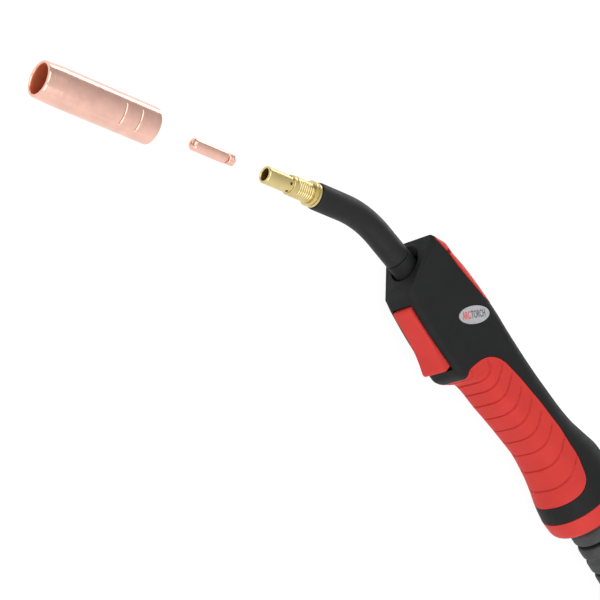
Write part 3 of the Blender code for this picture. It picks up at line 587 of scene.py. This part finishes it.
def grown_outline(outline, distance):
    """The outline moved outwards by a distance all round."""
    area = sum(a[0] * b[1] - b[0] * a[1] for a, b in zip(outline, outline[1:] + outline[:1]))
    turn = 1 if area > 0 else -1
    result = []
    for i, point in enumerate(outline):
        before = Vector(point) - Vector(outline[i - 1])
        after = Vector(outline[(i + 1) % len(outline)]) - Vector(point)
        normals = [Vector((v.y, -v.x)).normalized() * turn for v in (before, after)]
        middle = (normals[0] + normals[1]).normalized()
        reach = distance / max(middle.dot(normals[0]), 0.5)
        result.append(tuple(Vector(point) + middle * reach))
    return result


# ---- camera, light and floor ----
def build_camera():
    data = bpy.data.cameras.new("camera")
    data.lens = CAMERA_LENS
    data.sensor_width = 36.0
    data.clip_start = 0.05
    data.clip_end = 20.0
    camera = new_object("camera", data)
    right = CAMERA_RIGHT.normalized()
    back = right.cross(CAMERA_UP).normalized()
    up = back.cross(right)
    camera.matrix_world = axes_at(right, up, back, (CAMERA_PLACE + ORIGIN) * MM)
    bpy.context.scene.camera = camera


def area_light(name, direction, distance, size, power):
    """A soft light that shines at the middle of the torch from a direction."""
    data = bpy.data.lights.new(name, 'AREA')
    data.shape = 'RECTANGLE'
    data.size, data.size_y = size
    data.energy = power
    light = new_object(name, data)
    direction = Vector(direction).normalized()
    matrix = direction.to_track_quat('Z', 'Y').to_matrix().to_4x4()
    matrix.translation = direction * distance
    light.matrix_world = matrix


def sky_gradient(tree):
    """A white room that is brighter towards the rear and the trigger side."""
    background = tree.nodes["Background"]
    background.inputs["Color"].default_value = (1.0, 1.0, 1.0, 1.0)
    direction = node(tree, "ShaderNodeTexCoord")
    along = node(tree, "ShaderNodeVectorMath", operation='DOT_PRODUCT')
    along.inputs[1].default_value = SKY_BRIGHT_SIDE
    strength = node(tree, "ShaderNodeMapRange", From_Min=-1.0, From_Max=1.0,
                    To_Min=SKY_DARKEST, To_Max=SKY_BRIGHTEST)
    tree.links.new(direction.outputs["Generated"], along.inputs[0])
    tree.links.new(along.outputs["Value"], strength.inputs["Value"])
    tree.links.new(strength.outputs["Result"], background.inputs["Strength"])


def build_studio():
    scene = bpy.context.scene
    scene.view_settings.view_transform = 'Standard'
    world = bpy.data.worlds.new("studio")
    world.use_nodes = True
    sky_gradient(world.node_tree)
    scene.world = world
    area_light("key", (0.35, 0.15, 1.0), 1.5, (1.8, 1.4), 12)
    area_light("fill", (-0.5, 1.0, 0.6), 1.4, (1.2, 1.0), 5)
    area_light("strip", (0.12, -0.98, 0.16), 1.2, (1.4, 0.32), 5.0)
    corners = [(FLOOR_REACH * x, FLOOR_REACH * y, 0)
               for x, y in ((-1, -1), (1, -1), (1, 1), (-1, 1))]
    floor = add_object("floor", corners, [(0, 1, 2, 3)], floor_material())
    floor.matrix_world = Matrix.Translation((0, 0, 0))


# ---- lead ----
def coil_points():
    """The coil's five and a half turns, two wide and three high.

    The cable lies down along the floor from the outside in, climbs up the inside,
    steps out on top and leaves from the middle of the outside. Each turn moves on
    before the one after it needs the place.
    """
    points = []
    for degrees in range(0, 5 * 360 + 181, 10):
        turn, angle = divmod(degrees, 360)
        ring, layer = COIL_PLACES[turn]
        if turn < len(COIL_MOVES):
            start, end = COIL_MOVES[turn]
            part = ease((angle - start) / (end - start))
            ring += (COIL_PLACES[turn + 1][0] - ring) * part
            layer += (COIL_PLACES[turn + 1][1] - layer) * part
        radius = COIL_MID_RADIUS + CABLE_RADIUS * ring
        height = FLOOR + CABLE_RADIUS * (1 + 2 * layer) + 0.1
        bearing = math.radians(90 + degrees)
        points.append(Vector((COIL_CENTRE.x + radius * math.cos(bearing),
                              COIL_CENTRE.y + radius * math.sin(bearing), height)))
    return points


def ease(t):
    """A smooth step from 0 to 1."""
    t = min(1.0, max(0.0, t))
    return t * t * (3 - 2 * t)


def build_cord():
    height = FLOOR + CABLE_RADIUS + 0.1
    lead = [Vector(p) for p in ((BOOT_END - 0.4, SWIVEL_AXIS_Y, 0.0), (-78, -1.4, -0.4),
                                (-92.5, -1.4, -5.2), (-107, -1.4, -11.6), (-120, -1.4, height))]
    tail_y = CONNECTOR_FACE.y
    end_x = CONNECTOR_FACE.x + CONNECTOR_REAR - 0.4
    tail = [Vector(p) for p in ((-126, -138.7, -1.6), (-113, -141.2, -1.2),
                                (-102, tail_y - 0.3, -0.5), (end_x, tail_y, 0.0))]
    route = smooth_path(lead, 7) + coil_points() + smooth_path(tail, 6)
    curve = bpy.data.curves.new("lead", 'CURVE')
    curve.dimensions = '3D'
    curve.bevel_depth = CABLE_RADIUS * MM
    curve.bevel_resolution = 8
    curve.use_fill_caps = True
    spline = curve.splines.new('POLY')
    spline.points.add(len(route) - 1)
    for target, point in zip(spline.points, route):
        target.co = (*((point + ORIGIN) * MM), 1.0)
    spline.use_smooth = True
    curve.materials.append(JACKET)
    cord = new_object("lead", curve)
    stand_for(cord, "cable_lead", "cable_coil", "cable_tail")
    return cord, tuple((route[0] + ORIGIN) * MM)


# ---- handle sections ----
def slopes_of(column):
    """Slopes of a smooth curve through the sections that doesn't overshoot."""
    xs = [row[0] for row in HANDLE]
    chords = [(column[i + 1] - column[i]) / (xs[i + 1] - xs[i]) for i in range(len(xs) - 1)]
    slopes = [chords[0]]
    for a, b in zip(chords, chords[1:]):
        slopes.append(0.0 if a * b <= 0 else 2 * a * b / (a + b))
    return slopes + [chords[-1]]


COLUMNS = [[row[i] for row in HANDLE] for i in range(1, 7)]
SLOPES = [slopes_of(column) for column in COLUMNS]


def handle_row(x):
    """The handle's section values at x, on a smooth curve through the listed rows."""
    for i in range(len(HANDLE) - 1):
        x0, x1 = HANDLE[i][0], HANDLE[i + 1][0]
        if x <= x1 or i == len(HANDLE) - 2:
            t = min(1.0, max(0.0, (x - x0) / (x1 - x0)))
            width = x1 - x0
            row = []
            for column, slopes in zip(COLUMNS, SLOPES):
                row.append((2 * t ** 3 - 3 * t * t + 1) * column[i]
                           + (t ** 3 - 2 * t * t + t) * width * slopes[i]
                           + (3 * t * t - 2 * t ** 3) * column[i + 1]
                           + (t ** 3 - t * t) * width * slopes[i + 1])
            return [x] + row
    return list(HANDLE[-1])


def half_section(row, grow, points=ARC_POINTS):
    """Left half of a section, from the top to the bottom, as (y, z)."""
    top, bottom, wide, narrow, radius_top, radius_bottom = row[1:]
    radius_top = max(radius_top + grow, 0.6)
    radius_bottom = max(radius_bottom + grow, 0.6)
    centre_top = Vector((top - grow + radius_top, wide + grow - radius_top))
    centre_bottom = Vector((bottom + grow - radius_bottom, narrow + grow - radius_bottom))
    between = centre_bottom - centre_top
    lean = max(-1.0, min(1.0, (radius_top - radius_bottom) / between.length))
    side = Vector((-between.y, between.x)).normalized()
    normal = between.normalized() * lean + side * math.sqrt(1 - lean * lean)
    turn = math.atan2(normal.x, normal.y)
    result = []
    for centre, radius, start, end in ((centre_top, radius_top, -math.pi / 2, turn),
                                       (centre_bottom, radius_bottom, turn, math.pi / 2)):
        for i in range(points):
            angle = start + (end - start) * i / (points - 1)
            result.append((centre.x + radius * math.sin(angle),
                           centre.y + radius * math.cos(angle)))
    return result


def both_sides(x, half):
    """A whole ring at x from its left half."""
    return [(x, y, z) for y, z in half] + [(x, y, -z) for y, z in half[::-1]]


def side_surface(x, y):
    """How far out the handle's side is at a place."""
    points = half_section(handle_row(x), 0.0, 24)
    for (y0, z0), (y1, z1) in zip(points, points[1:]):
        if y0 <= y <= y1 and y1 > y0:
            return z0 + (z1 - z0) * (y - y0) / (y1 - y0)
    return 0.0


def spaced(first, last, step):
    count = max(2, round((last - first) / step))
    return [first + (last - first) * i / count for i in range(count + 1)]


def body_loft(name, grow, first=-1.0, last=169.0, left_only=False, material=None, step=FINE_STEP):
    """The handle's shape, grown by a distance; left_only stops it near the joint."""
    rings = []
    for x in spaced(first, last, step):
        half = half_section(handle_row(x), grow)
        if left_only:
            ring = [(x, y, z) for y, z in half]
            ring += [(x, half[-1][0], SPLIT), (x, half[0][0], SPLIT)]
        else:
            ring = both_sides(x, half)
        rings.append(ring)
    return ring_solid(name, rings, material)


# ---- handle cutters ----
def front_cutter(name, inset):
    along = (FRONT_BOTTOM - FRONT_TOP).normalized()
    outward = Vector((-along.y, along.x))
    if outward.x < 0:
        outward = -outward
    start = FRONT_TOP - along * 40 - outward * inset
    end = FRONT_BOTTOM + along * 30 - outward * inset
    outline = [start, end, end + outward * 60, start + outward * 60]
    return prism(name, [tuple(p) for p in outline], 40)


def chamfer_cutter(name, side):
    top = Vector((FRONT_TOP.x, FRONT_TOP.y, side * 17.5))
    bottom = Vector((FRONT_BOTTOM.x, FRONT_BOTTOM.y, side * 10.4))
    edge = (bottom - top).normalized()
    outward = (FRONT_NORMAL + Vector((0, 0.26 * 0.7, side * 1.0))).normalized()
    outward = (outward - edge * outward.dot(edge)).normalized()
    across = edge.cross(outward).normalized()
    back = FRONT_CHAMFER * 0.62
    corners = []
    for reach in (-back, 30):
        for along, width in ((-20, -20), (50, -20), (50, 20), (-20, 20)):
            corners.append(top + edge * along + across * width + outward * reach)
    return ring_solid(name, [corners[:4], corners[4:]])


def seat_cutter(name, outline, depth):
    """Cutter for a shallow seat of an outline's shape in the handle's skin."""
    cutter = prism(name, rounded_profile(outline, 3.0), 40)
    core = body_loft(name + "_core", -depth, first=-6, last=172)
    cut(cutter, core)
    return cutter


def trigger_width(x):
    part = (143.4 - x) / (143.4 - 107.0)
    return TRIGGER_FRONT_WIDTH + (TRIGGER_REAR_WIDTH - TRIGGER_FRONT_WIDTH) * part


def trigger_slot_cutter():
    outline = [(144.2, 21), (144.2, 60), (105.2, 60), (105.2, 21)]
    widths = [trigger_width(x) + 0.5 for x, _ in outline]
    return prism("trigger_slot_cutter", outline, 0, widths=widths)


def pin_bore_cutter():
    place = at(TRIGGER_PIVOT + Vector((0, 0, -PIN_HALF_LENGTH - GAP)), (0, 0, 1))
    profile = [(0, TRIGGER_BORE), (2 * PIN_HALF_LENGTH + 2 * GAP, TRIGGER_BORE)]
    return round_cutter("pin_bore_cutter", profile, place)


def neck_cutters():
    hole = round_cutter("neck_hole_cutter", [(-30, 7.2), (30, 7.2)], stem_place(0), 64)
    sink = round_cutter("countersink_cutter", [(-7.5, 7.6), (-3.8, 9.0), (6, 13.5)],
                        stem_place(0), 64)
    return [hole, sink]


def badge_frame(side):
    """Place of a badge: local X along the text, Y up the letters, Z off the surface."""
    surface = side_surface(BADGE_CENTRE.x, BADGE_CENTRE.y)
    slope = side_surface(BADGE_CENTRE.x, BADGE_CENTRE.y + 4)
    slope -= side_surface(BADGE_CENTRE.x, BADGE_CENTRE.y - 4)
    normal = Vector((0, -slope / 8, 1)).normalized()
    normal.z *= side
    text = Vector((-math.cos(BADGE_ANGLE), -math.sin(BADGE_ANGLE), 0)) * side
    text = (text - normal * text.dot(normal)).normalized()
    return axes_at(text, normal.cross(text), normal, Vector((*BADGE_CENTRE, side * surface)))


def oval(name, levels, place, material=None):
    """Stack of ovals (height, half length, half width) about local Z."""
    rings = []
    for height, length, width in levels:
        rings.append([(length * math.cos(angle), width * math.sin(angle), height)
                      for angle in around(72)])
    return ring_solid(name, rings, material, place)


# ---- front end ----
def colour_faces(obj, material, chosen):
    """Gives one more material to the faces that chosen(x, radius) picks (mm, local X)."""
    index = len(obj.data.materials)
    obj.data.materials.append(material)
    for polygon in obj.data.polygons:
        x, y, z = polygon.center / MM
        if chosen(x, math.hypot(y, z)):
            polygon.material_index = index


def thread(first, last, depth, limit):
    """Relief of a thread between two places along X, outside a limit of radius."""
    def relief(x, angle, radius):
        if radius < limit or x <= first or x >= last:
            return 0.0
        phase = (x / THREAD_PITCH - angle / (2 * math.pi)) % 1.0
        fade = min(1.0, (x - first) / THREAD_PITCH, (last - x) / THREAD_PITCH)
        return -depth * fade * (0.5 + 0.5 * math.cos(2 * math.pi * phase))
    return relief


def crimp_relief(x, angle, radius):
    """Two crimped bands on the nozzle's outside, each a sunk strip in three arcs."""
    if radius < 8.0:
        return 0.0
    depth = 0.0
    arc = ease(0.5 + 2.5 * (math.cos(3 * (angle - CRIMP_TURN)) + 0.25))
    for centre in CRIMPS:
        depth -= 0.10 * arc * math.exp(-((x - centre) / 1.3) ** 4)
        for edge, deep in ((-1.2, 0.20), (1.2, 0.08)):
            depth -= deep * arc * math.exp(-((x - centre - edge) / 0.3) ** 2)
    return depth


def build_nozzle():
    length = NOZZLE_LENGTH
    outside = [(0.3, NOZZLE_RADIUS), (length - 13, NOZZLE_RADIUS), (length - 9, 8.85),
               (length - 5, 8.65), (length - 0.8, 8.46), (length - 0.2, 8.30), (length, 8.0)]
    inside = [(length, 7.2), (length - 0.3, 7.0), (length - 0.8, 6.92), (length - 12, 7.3),
              (26.5, 7.45), (0.2, 7.45), (0, 7.65), (0, 8.6), (0.08, 8.82)]
    nozzle = turned("gas_nozzle", outside + inside, COPPER, barrel_place(NOZZLE_REST),
                    relief=crimp_relief, step=0.2, segments=144)
    colour_faces(nozzle, COPPER_BORE, lambda x, radius: radius < 7.6 and x < length - 0.4)
    # Painted shade: the faces along each crimp's sunk edge get the dark copper.
    colour_faces(nozzle, COPPER_CRIMP_SHADE, lambda x, radius:
                 CRIMP_SINK < NOZZLE_RADIUS - radius < 0.4 and x < 25)
    stand_for(nozzle)
    sleeve = rounded_profile([(5.2, 7.1), (25.5, 7.1), (25.5, 6.25), (5.2, 6.25)], 0.2)
    stand_for(turned("nozzle_insulator", sleeve, FIBRE, barrel_place(NOZZLE_REST)))
    collar = [(3.9, 7.1), (4.9, 7.1), (4.9, 5.95), (22.5, 5.95), (22.5, 5.35), (3.9, 5.35)]
    stand_for(turned("nozzle_thread_collar", rounded_profile(collar, 0.15), BRASS,
                     barrel_place(NOZZLE_REST), step=0.4))


def build_tip():
    length = TIP_LENGTH
    bore = 0.55
    profile = [(0.25, bore), (0, bore + 0.2), (0, 1.9), (0.4, 2.75), (4.3, 2.75), (4.5, 2.1),
               (5.1, 2.1), (5.3, TIP_RADIUS - 0.2), (5.5, TIP_RADIUS), (length - 2.0, TIP_RADIUS),
               (length - 1.2, 2.85), (length - 0.5, 2.35), (length - 0.1, 1.7), (length, 1.3),
               (length, 0.85), (length - 0.6, bore)]
    tip = turned("contact_tip", profile, COPPER, barrel_place(TIP_REST), segments=96,
                 relief=thread(0.2, 4.4, 0.5, 2.6), step=0.1)
    colour_faces(tip, COPPER_BORE, lambda x, radius: radius < 1.0)
    stand_for(tip)


def build_diffuser():
    outside = [(-42, 4.6), (-31.5, 4.6), (-31.4, 6.0), (-31.2, 6.2), (-30.3, 6.2), (-30.1, 6.0),
               (-30.0, 5.5), (-29.0, 5.5), (-28.9, 6.2), (-28.7, 6.4), (-27.8, 6.4), (-27.6, 6.2),
               (-27.5, 5.0), (-27.3, 5.15), (-17.6, 5.15), (-17.2, 4.7), (-16.4, 4.7), (-16.3, 4.9),
               (-16.1, 5.05), (-15.3, 5.05), (-15.1, 4.9), (-15.0, 4.32), (-0.7, 4.32),
               (-0.2, 4.1), (0, 3.8)]
    inside = [(0, 3.3), (-0.5, 2.95), (-12, 2.95), (-12.6, 2.2), (-42, 2.2)]
    diffuser = turned("gas_diffuser", outside + inside, BRASS, barrel_place(0),
                      relief=thread(-27.4, -17.3, 0.20, 4.9), step=0.15)
    for i in range(3):
        angle = math.pi * i / 3 + math.radians(12)
        direction = Vector((0, math.cos(angle), math.sin(angle)))
        local = at(Vector((-13.4, 0, 0)) - direction * 6, direction)
        cut(diffuser, round_cutter("gas_port_cutter", [(0, 0.75), (12, 0.75)],
                                   barrel_place(0) @ local))
    bake(diffuser)
    colour_faces(diffuser, BRASS_BORE, lambda x, radius: radius < 3.1)
    stand_for(diffuser)


def neck_path(start, end, step):
    """Centre line from start, along the barrel, to end, inside the head (mm)."""
    across = DIFFUSER_FRONT - NECK_EXIT
    determinant = STEM.x * BARREL.y - STEM.y * BARREL.x
    reach = (across.x * BARREL.y - across.y * BARREL.x) / determinant
    corner = NECK_EXIT + STEM * reach
    bend = BARREL_ANGLE - NECK_ANGLE
    tangent = BEND_RADIUS * math.tan(bend / 2)
    centre = corner - STEM * tangent + Vector((-STEM.y, STEM.x, 0.0)) * BEND_RADIUS
    path = [DIFFUSER_FRONT + BARREL * (start - inset) for inset in (0.0, 0.5, 1.2)]
    steps = round(BEND_RADIUS * bend / step)
    for i in range(steps + 1):
        angle = BARREL_ANGLE - bend * i / steps
        path.append(centre + BEND_RADIUS * Vector((math.sin(angle), -math.cos(angle), 0.0)))
    return path + [NECK_EXIT + STEM * end]


def build_neck():
    path = neck_path(SLEEVE_FRONT, 1.9, 1.0)
    outer = [6.3, 6.72] + [NECK_RADIUS] * (len(path) - 2)
    inner = [5.5] * (len(path) - 2) + [5.7, 5.9]
    neck = swept("neck_insulation", path, [outer, inner], NECK_BLACK)
    stand_for(neck)
    collar = [(-9.0, 6.9), (1.5, 6.9), (1.5, 5.3), (-9.0, 5.3)]
    stand_for(turned("neck_collar", rounded_profile(collar, 0.5), BLACK, stem_place(0)))


# ---- housing ----
def build_housing():
    halves = []
    for side, name in ((1, "housing_left"), (-1, "housing_right")):
        half = body_loft(name, 0.0, left_only=True, material=BLACK)
        if side < 0:
            for vertex in half.data.vertices:
                vertex.co.z = -vertex.co.z
            half.data.flip_normals()
        halves.append((side, half))
    hollow = body_loft("hollow_cutter", -WALL, first=-6, last=160, step=4)
    cut(hollow, front_cutter("hollow_front_cutter", 4.0))
    cuts = [front_cutter("front_cutter", 0.0), seat_cutter("pad_seat", PAD_OUTLINE, RECESS),
            seat_cutter("cap_seat", CAP_OUTLINE, RECESS), trigger_slot_cutter(),
            pin_bore_cutter()] + neck_cutters()
    for side, half in halves:
        cut(half, hollow)
        for cutter in cuts:
            cut(half, cutter)
        cut(half, chamfer_cutter("chamfer_cutter_%d" % side, side))
        cut(half, oval("badge_seat_%d" % side, [(-1.0, 10.0, 4.9), (6.0, 10.0, 4.9)],
                       badge_frame(side)))
    right = halves[1][1]
    for i, (x, y) in enumerate(SCREW_PLACES):
        surface = side_surface(x, y)
        profile = [(-2, 1.6), (surface - 2.9, 1.6), (surface - 2.9, 2.8), (surface + 4, 2.8)]
        cut(right, round_cutter("screw_cutter_%d" % i, profile, at((x, y, 0), (0, 0, -1)), 32))
    bake(*[half for _, half in halves])
    for _, half in halves:
        stand_for(half)


def groove_relief(x, y, bottom):
    """How deep the grip's grooves are at a place on its side."""
    rise = bottom - y
    depth = 0.0
    for start in GROOVE_STARTS:
        reach = GROOVE_RISE if start < 90 else 8.0
        fade = ease((reach - rise) / 2.5)
        line = start + GROOVE_LEAN * max(0.0, rise / reach) ** 1.7
        offset = abs(x - line) / GROOVE_HALF_WIDTH
        if offset < 1 and fade > 0:
            depth = max(depth, GROOVE_DEPTH * (1 - offset * offset) * fade)
    return depth


def grooved_loft(name):
    """The handle's shape over the pad's length, with the grooves worked in."""
    rings = []
    for x in spaced(5.0, 104.0, GROOVE_STEP):
        row = handle_row(x)
        bottom = row[2]
        half = half_section(row, 0.0, 4)
        side = half[4:]
        top = half[:4]
        flank = []
        (y0, z0), (y1, z1) = half[3], half[4]
        for i in range(1, 24):
            flank.append((y0 + (y1 - y0) * i / 24, z0 + (z1 - z0) * i / 24))
        arc = half_section(row, 0.0, 16)[16:]
        outline = top + flank + arc
        sunk = []
        for i, (y, z) in enumerate(outline):
            before = Vector(outline[max(i - 1, 0)])
            after = Vector(outline[min(i + 1, len(outline) - 1)])
            tangent = (after - before).normalized()
            inward = Vector((-tangent.y, tangent.x))
            if inward.dot(Vector((y - (row[1] + row[2]) / 2, z))) > 0:
                inward = -inward
            depth = groove_relief(x, y, bottom) if y > row[1] + 8 else 0.0
            sunk.append((y + inward.x * depth, max(0.0, z + inward.y * depth)))
        rings.append([(x, y, z) for y, z in sunk] + [(x, y, -z) for y, z in sunk[-2::-1]])
    return ring_solid(name, rings, sharp=60)


def build_pad():
    pad = prism("grip_pad", rounded_profile(grown_outline(PAD_OUTLINE, -GAP), 3.0), 40, RED_GRIP)
    cut(pad, grooved_loft("grip_outer"), 'INTERSECT')
    cut(pad, body_loft("grip_inner", -SKIN, first=-8, last=120, step=2))
    bake(pad, sharp=50)
    stand_for(pad)


def build_cap():
    cap = prism("top_cap", rounded_profile(grown_outline(CAP_OUTLINE, -GAP), 3.0), 40, RED)
    cut(cap, body_loft("cap_outer", CAP_PROUD, first=100, last=172), 'INTERSECT')
    cut(cap, body_loft("cap_inner", -SKIN, first=90, last=174, step=2))
    for side in (1, -1):
        direction = Vector((0, 0.2, -side * 0.98))
        place = at(Vector((153.4, 1.0, side * 17.7)) - direction * 2, direction)
        cut(cap, round_cutter("cap_hole_cutter_%d" % side, [(0, 1.3), (6, 1.3)], place, 32))
    bake(cap)
    stand_for(cap)


def build_badges():
    for side, name in ((1, "badge_left"), (-1, "badge_right")):
        place = badge_frame(side)
        levels = [(-0.7, 9.7, 4.6), (0.12, 9.7, 4.6), (0.28, 9.62, 4.52), (0.35, 9.4, 4.3),
                  (0.35, 9.1, 4.0), (0.27, 9.0, 3.9), (0.27, 0.6, 0.3)]
        stand_for(oval(name, levels, place, BADGE))
        for text, offset, material in (("ARC", -5.0, INK_RED), ("TORCH", 2.4, INK_GREY)):
            lettering(name + "_" + text.lower(), text, offset, material, place, name)


def lettering(name, text, offset, material, place, node_name):
    """Flat raised letters on a badge, centred at an offset along it."""
    curve = bpy.data.curves.new(name, 'FONT')
    curve.body = text
    curve.size = 4.4 * MM
    curve.align_x = 'CENTER'
    curve.align_y = 'CENTER'
    curve.extrude = 0.05 * MM
    curve.offset = 0.06 * MM
    obj = new_object(name, curve)
    shape = place @ Matrix.Translation((offset, 0, 0.29)) @ Matrix.Diagonal((0.60, 1.2, 1, 1))
    shape.translation = (shape.translation + ORIGIN) * MM
    obj.matrix_world = shape
    bpy.context.view_layer.update()
    mesh = bpy.data.meshes.new_from_object(obj.evaluated_get(bpy.context.evaluated_depsgraph_get()))
    mesh.transform(shape)
    bpy.data.objects.remove(obj, do_unlink=True)
    letters = new_object(name, mesh)
    mesh.materials.clear()
    mesh.materials.append(material)
    goes_with(letters, node_name)


def build_trigger():
    """Finger trigger: a long hollow-ground face that flares towards its rear end."""
    face = [tuple(p) for p in smooth_path([Vector((*p, 0)) for p in TRIGGER_FACE], 1.5)]
    outline = [(143.4, 28), (143.4, 33.4), (143.1, 34.3)]
    outline += [(x, y) for x, y, _ in face]
    outline += [(109.4, 38.4), (108.2, 38.3), (107.4, 37.6), (107.05, 36.4), (107.4, 29.4),
                (131, 27.4), (134.6, 25.4), (141.4, 25.4)]
    widths = [trigger_width(x) for x, _ in outline]
    local = [(x - TRIGGER_PIVOT.x, y - TRIGGER_PIVOT.y) for x, y in outline]
    place = Matrix.Translation(TRIGGER_PIVOT)
    trigger = prism("trigger", local, 0, RED, place, widths)
    soften(trigger, 0.7, 3, 50)
    hole = at(TRIGGER_PIVOT + Vector((0, 0, -12)), (0, 0, 1))
    cut(trigger, round_cutter("trigger_pin_cutter", [(0, TRIGGER_BORE), (24, TRIGGER_BORE)], hole))
    bake(trigger)
    stand_for(trigger)


def build_screws():
    """Countersunk pan heads with a six-sided socket."""
    for i, (x, y) in enumerate(SCREW_PLACES):
        head = side_surface(x, y) - 0.5
        profile = [(-head, 1.6), (-head + 0.15, 2.2), (-head + 0.5, 2.5), (-head + 1.9, 2.5),
                   (-head + 1.9, 1.35), (7.6, 1.35), (8.2, 0.7)]
        place = at((x, y, 0), (0, 0, 1))
        screw = turned("housing_screw_%d" % (i + 1), profile, STEEL, place, False, 48)
        cut(screw, round_cutter("socket_cutter", [(-head - 1, 1.2), (-head + 1.2, 1.2)], place, 6))
        bake(screw)
        stand_for(screw)


# ---- rear ring and boot ----
def build_rear():
    axis = Vector((0, SWIVEL_AXIS_Y, 0))
    row = handle_row(-1.0)
    rings = []
    for x, grow in RING_SECTIONS:
        rings.append(both_sides(x, half_section(row, grow, 24)))
    ring = ring_solid("rear_ring", rings, RED)
    bore = [(-20, 13.6), (-12.1, 13.6), (-11.4, 13.2), (-8.6, 13.2), (-8.0, 14.8), (4, 14.8)]
    cut(ring, round_cutter("ring_bore_cutter", bore, at(axis), ROUND))
    bake(ring)
    stand_for(ring)

    ball = []
    for i in range(21):
        x = BALL_REAR + (BALL_FRONT - BALL_REAR) * i / 20
        ball.append((BALL_CENTRE_X + x, math.sqrt(BALL_RADIUS ** 2 - x ** 2)))
    ball += [(BALL_CENTRE_X + BALL_FRONT, 7.4), (BALL_CENTRE_X + BALL_REAR, 7.4)]
    stand_for(turned("swivel_ball", ball, BLACK, at(axis)))
    build_boot(axis)


def build_boot(axis):
    """Anti-kink sleeve: rounded rings at an even pitch with slots between them."""
    profile = [(BOOT_FRONT, 11.2), (-13.0, 11.2), (BOOT_FIRST, 12.4)]
    count = int((BOOT_FIRST - BOOT_END) / BOOT_PITCH)
    for i in range(count):
        start = BOOT_FIRST - BOOT_PITCH * i
        profile += [(start - 1.4, BOOT_RADIUS), (start - BOOT_PITCH + 2.6, BOOT_RADIUS),
                    (start - BOOT_PITCH + 1.2, 12.0), (start - BOOT_PITCH, 12.0)]
    profile += [(BOOT_END, 11.6), (BOOT_END, 8.0), (BOOT_FRONT, 8.0)]
    boot = turned("cable_boot", rounded_profile(profile, 1.5), SOFT_BLACK, at(axis), segments=80)
    for i in range(1, count):
        middle = BOOT_FIRST - BOOT_PITCH * i + 0.6
        for side in (0, 180):
            turn = Matrix.Rotation(math.radians(90 * (i % 2) + side), 4, 'X')
            cutter = box("boot_slot_cutter_%d_%d" % (i, side), (middle - 1.1, -9.5, 2.6),
                         (middle + 1.1, 9.5, 16), None, Matrix.Translation(axis) @ turn)
            cut(boot, cutter)
    bake(boot)
    stand_for(boot)


# ---- connector ----
def build_connector():
    place = at(CONNECTOR_FACE)
    boot = [(CONNECTOR_REAR, 8.6), (-118.5, 9.0)]
    for i in range(1, 5):
        start = -124 + 7.4 * i
        radius = 9.1 + 0.28 * i
        boot += [(start, radius), (start + 4.6, radius), (start + 5.0, radius - 1.0),
                 (start + 7.0, radius - 1.0)]
    boot += [(-86.5, 11.0), (-76.5, 11.4)]
    closed = [(CONNECTOR_REAR, 0.5)] + boot + [(-76.5, 0.5)]
    pieces = [turned("connector_boot", rounded_profile(closed, 0.6), SOFT_BLACK, place)]
    housing = [(-76.1, 12.8), (-70, 14.4), (-58, 16.8), (-44, 18.2), (-21.5, 18.2), (-20.2, 17.4),
               (-20.2, 14.6), (-3.4, 14.6), (-3.4, 13.2), (-15, 13.2), (-15, 8.6), (-76.1, 8.6)]
    pieces.append(turned("connector_housing", rounded_profile(housing, 0.9), BLACK, place))
    plug = [(-24, 8.2), (-3.4, 8.2), (-3.4, 5.0), (19.5, 5.0), (19.5, 4.3), (21.7, 4.3),
            (21.7, 5.0), (25, 5.0), (26, 4.4), (26, 2.2), (-24, 2.2)]
    pieces.append(turned("connector_plug", rounded_profile(plug, 0.25), BRASS, place))
    seal = [(19.8, 4.6), (20.0, 5.3), (21.2, 5.3), (21.4, 4.6)]
    pieces.append(turned("plug_seal", rounded_profile(seal, 0.4), SOFT_BLACK, place))
    plate = [(-3.0, 14.4), (0, 14.4), (0, 5.3), (-3.0, 5.3)]
    face = turned("connector_face_plate", rounded_profile(plate, 0.3), GREY, place)
    for i, side in enumerate((1, -1)):
        spot = CONNECTOR_FACE + Vector((0, side * 1.3, side * 9.9))
        cut(face, round_cutter("pin_cutter_%d" % i, [(-6, 1.7), (3, 1.7)], at(spot), 32))
        pin = [(-8.5, 1.4), (4.3, 1.4), (5.0, 1.2), (5.4, 0.7)]
        pieces.append(turned("contact_pin_%d" % (i + 1), pin, BRASS, at(spot), False, 48))
    bake(face)
    pieces.append(face)
    pieces.append(connector_nut(place))
    for piece in pieces:
        stand_for(piece)
    return pieces


def connector_nut(place):
    """Hand nut with rounded finger ribs."""
    profile = rounded_profile([(-19.0, 19.4), (-17.4, 20.4), (12.4, 20.4), (14.0, 19.2),
                               (14.0, 16.4), (-1.5, 16.4), (-1.5, 15.0), (-19.0, 15.0)], 0.5)

    def ribs(x, angle, radius):
        if radius < 19.9:
            return 0.0
        ends = ease((x + 18.2) / 1.6) * ease((13.2 - x) / 1.6)
        return 0.7 * ends * ease(0.5 + 1.4 * math.sin(12 * angle + 0.8))

    return turned("connector_nut", profile, BLACK, place, segments=288, relief=ribs, step=0.8)


# ---- carried-over CAD nodes ----
def dress_inner_parts():
    """Materials for the CAD nodes that stay: the parts inside the handle."""
    for name, obj in frame["nodes"].items():
        obj.data.materials.clear()
        obj.data.materials.append(MATERIAL_OF_SLOT[SLOT_OF[name]])


def press_spring():
    """Gives the trigger's spring a mesh of its own."""
    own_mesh(frame["nodes"]["trigger_spring"])


def main():
    dress_inner_parts()
    press_spring()
    build_camera()
    build_studio()
    cord, cord_exit = build_cord()
    on_cord = build_connector()
    build_nozzle()
    build_tip()
    build_diffuser()
    build_neck()
    build_housing()
    build_pad()
    build_cap()
    build_badges()
    build_trigger()
    build_screws()
    build_rear()


main()
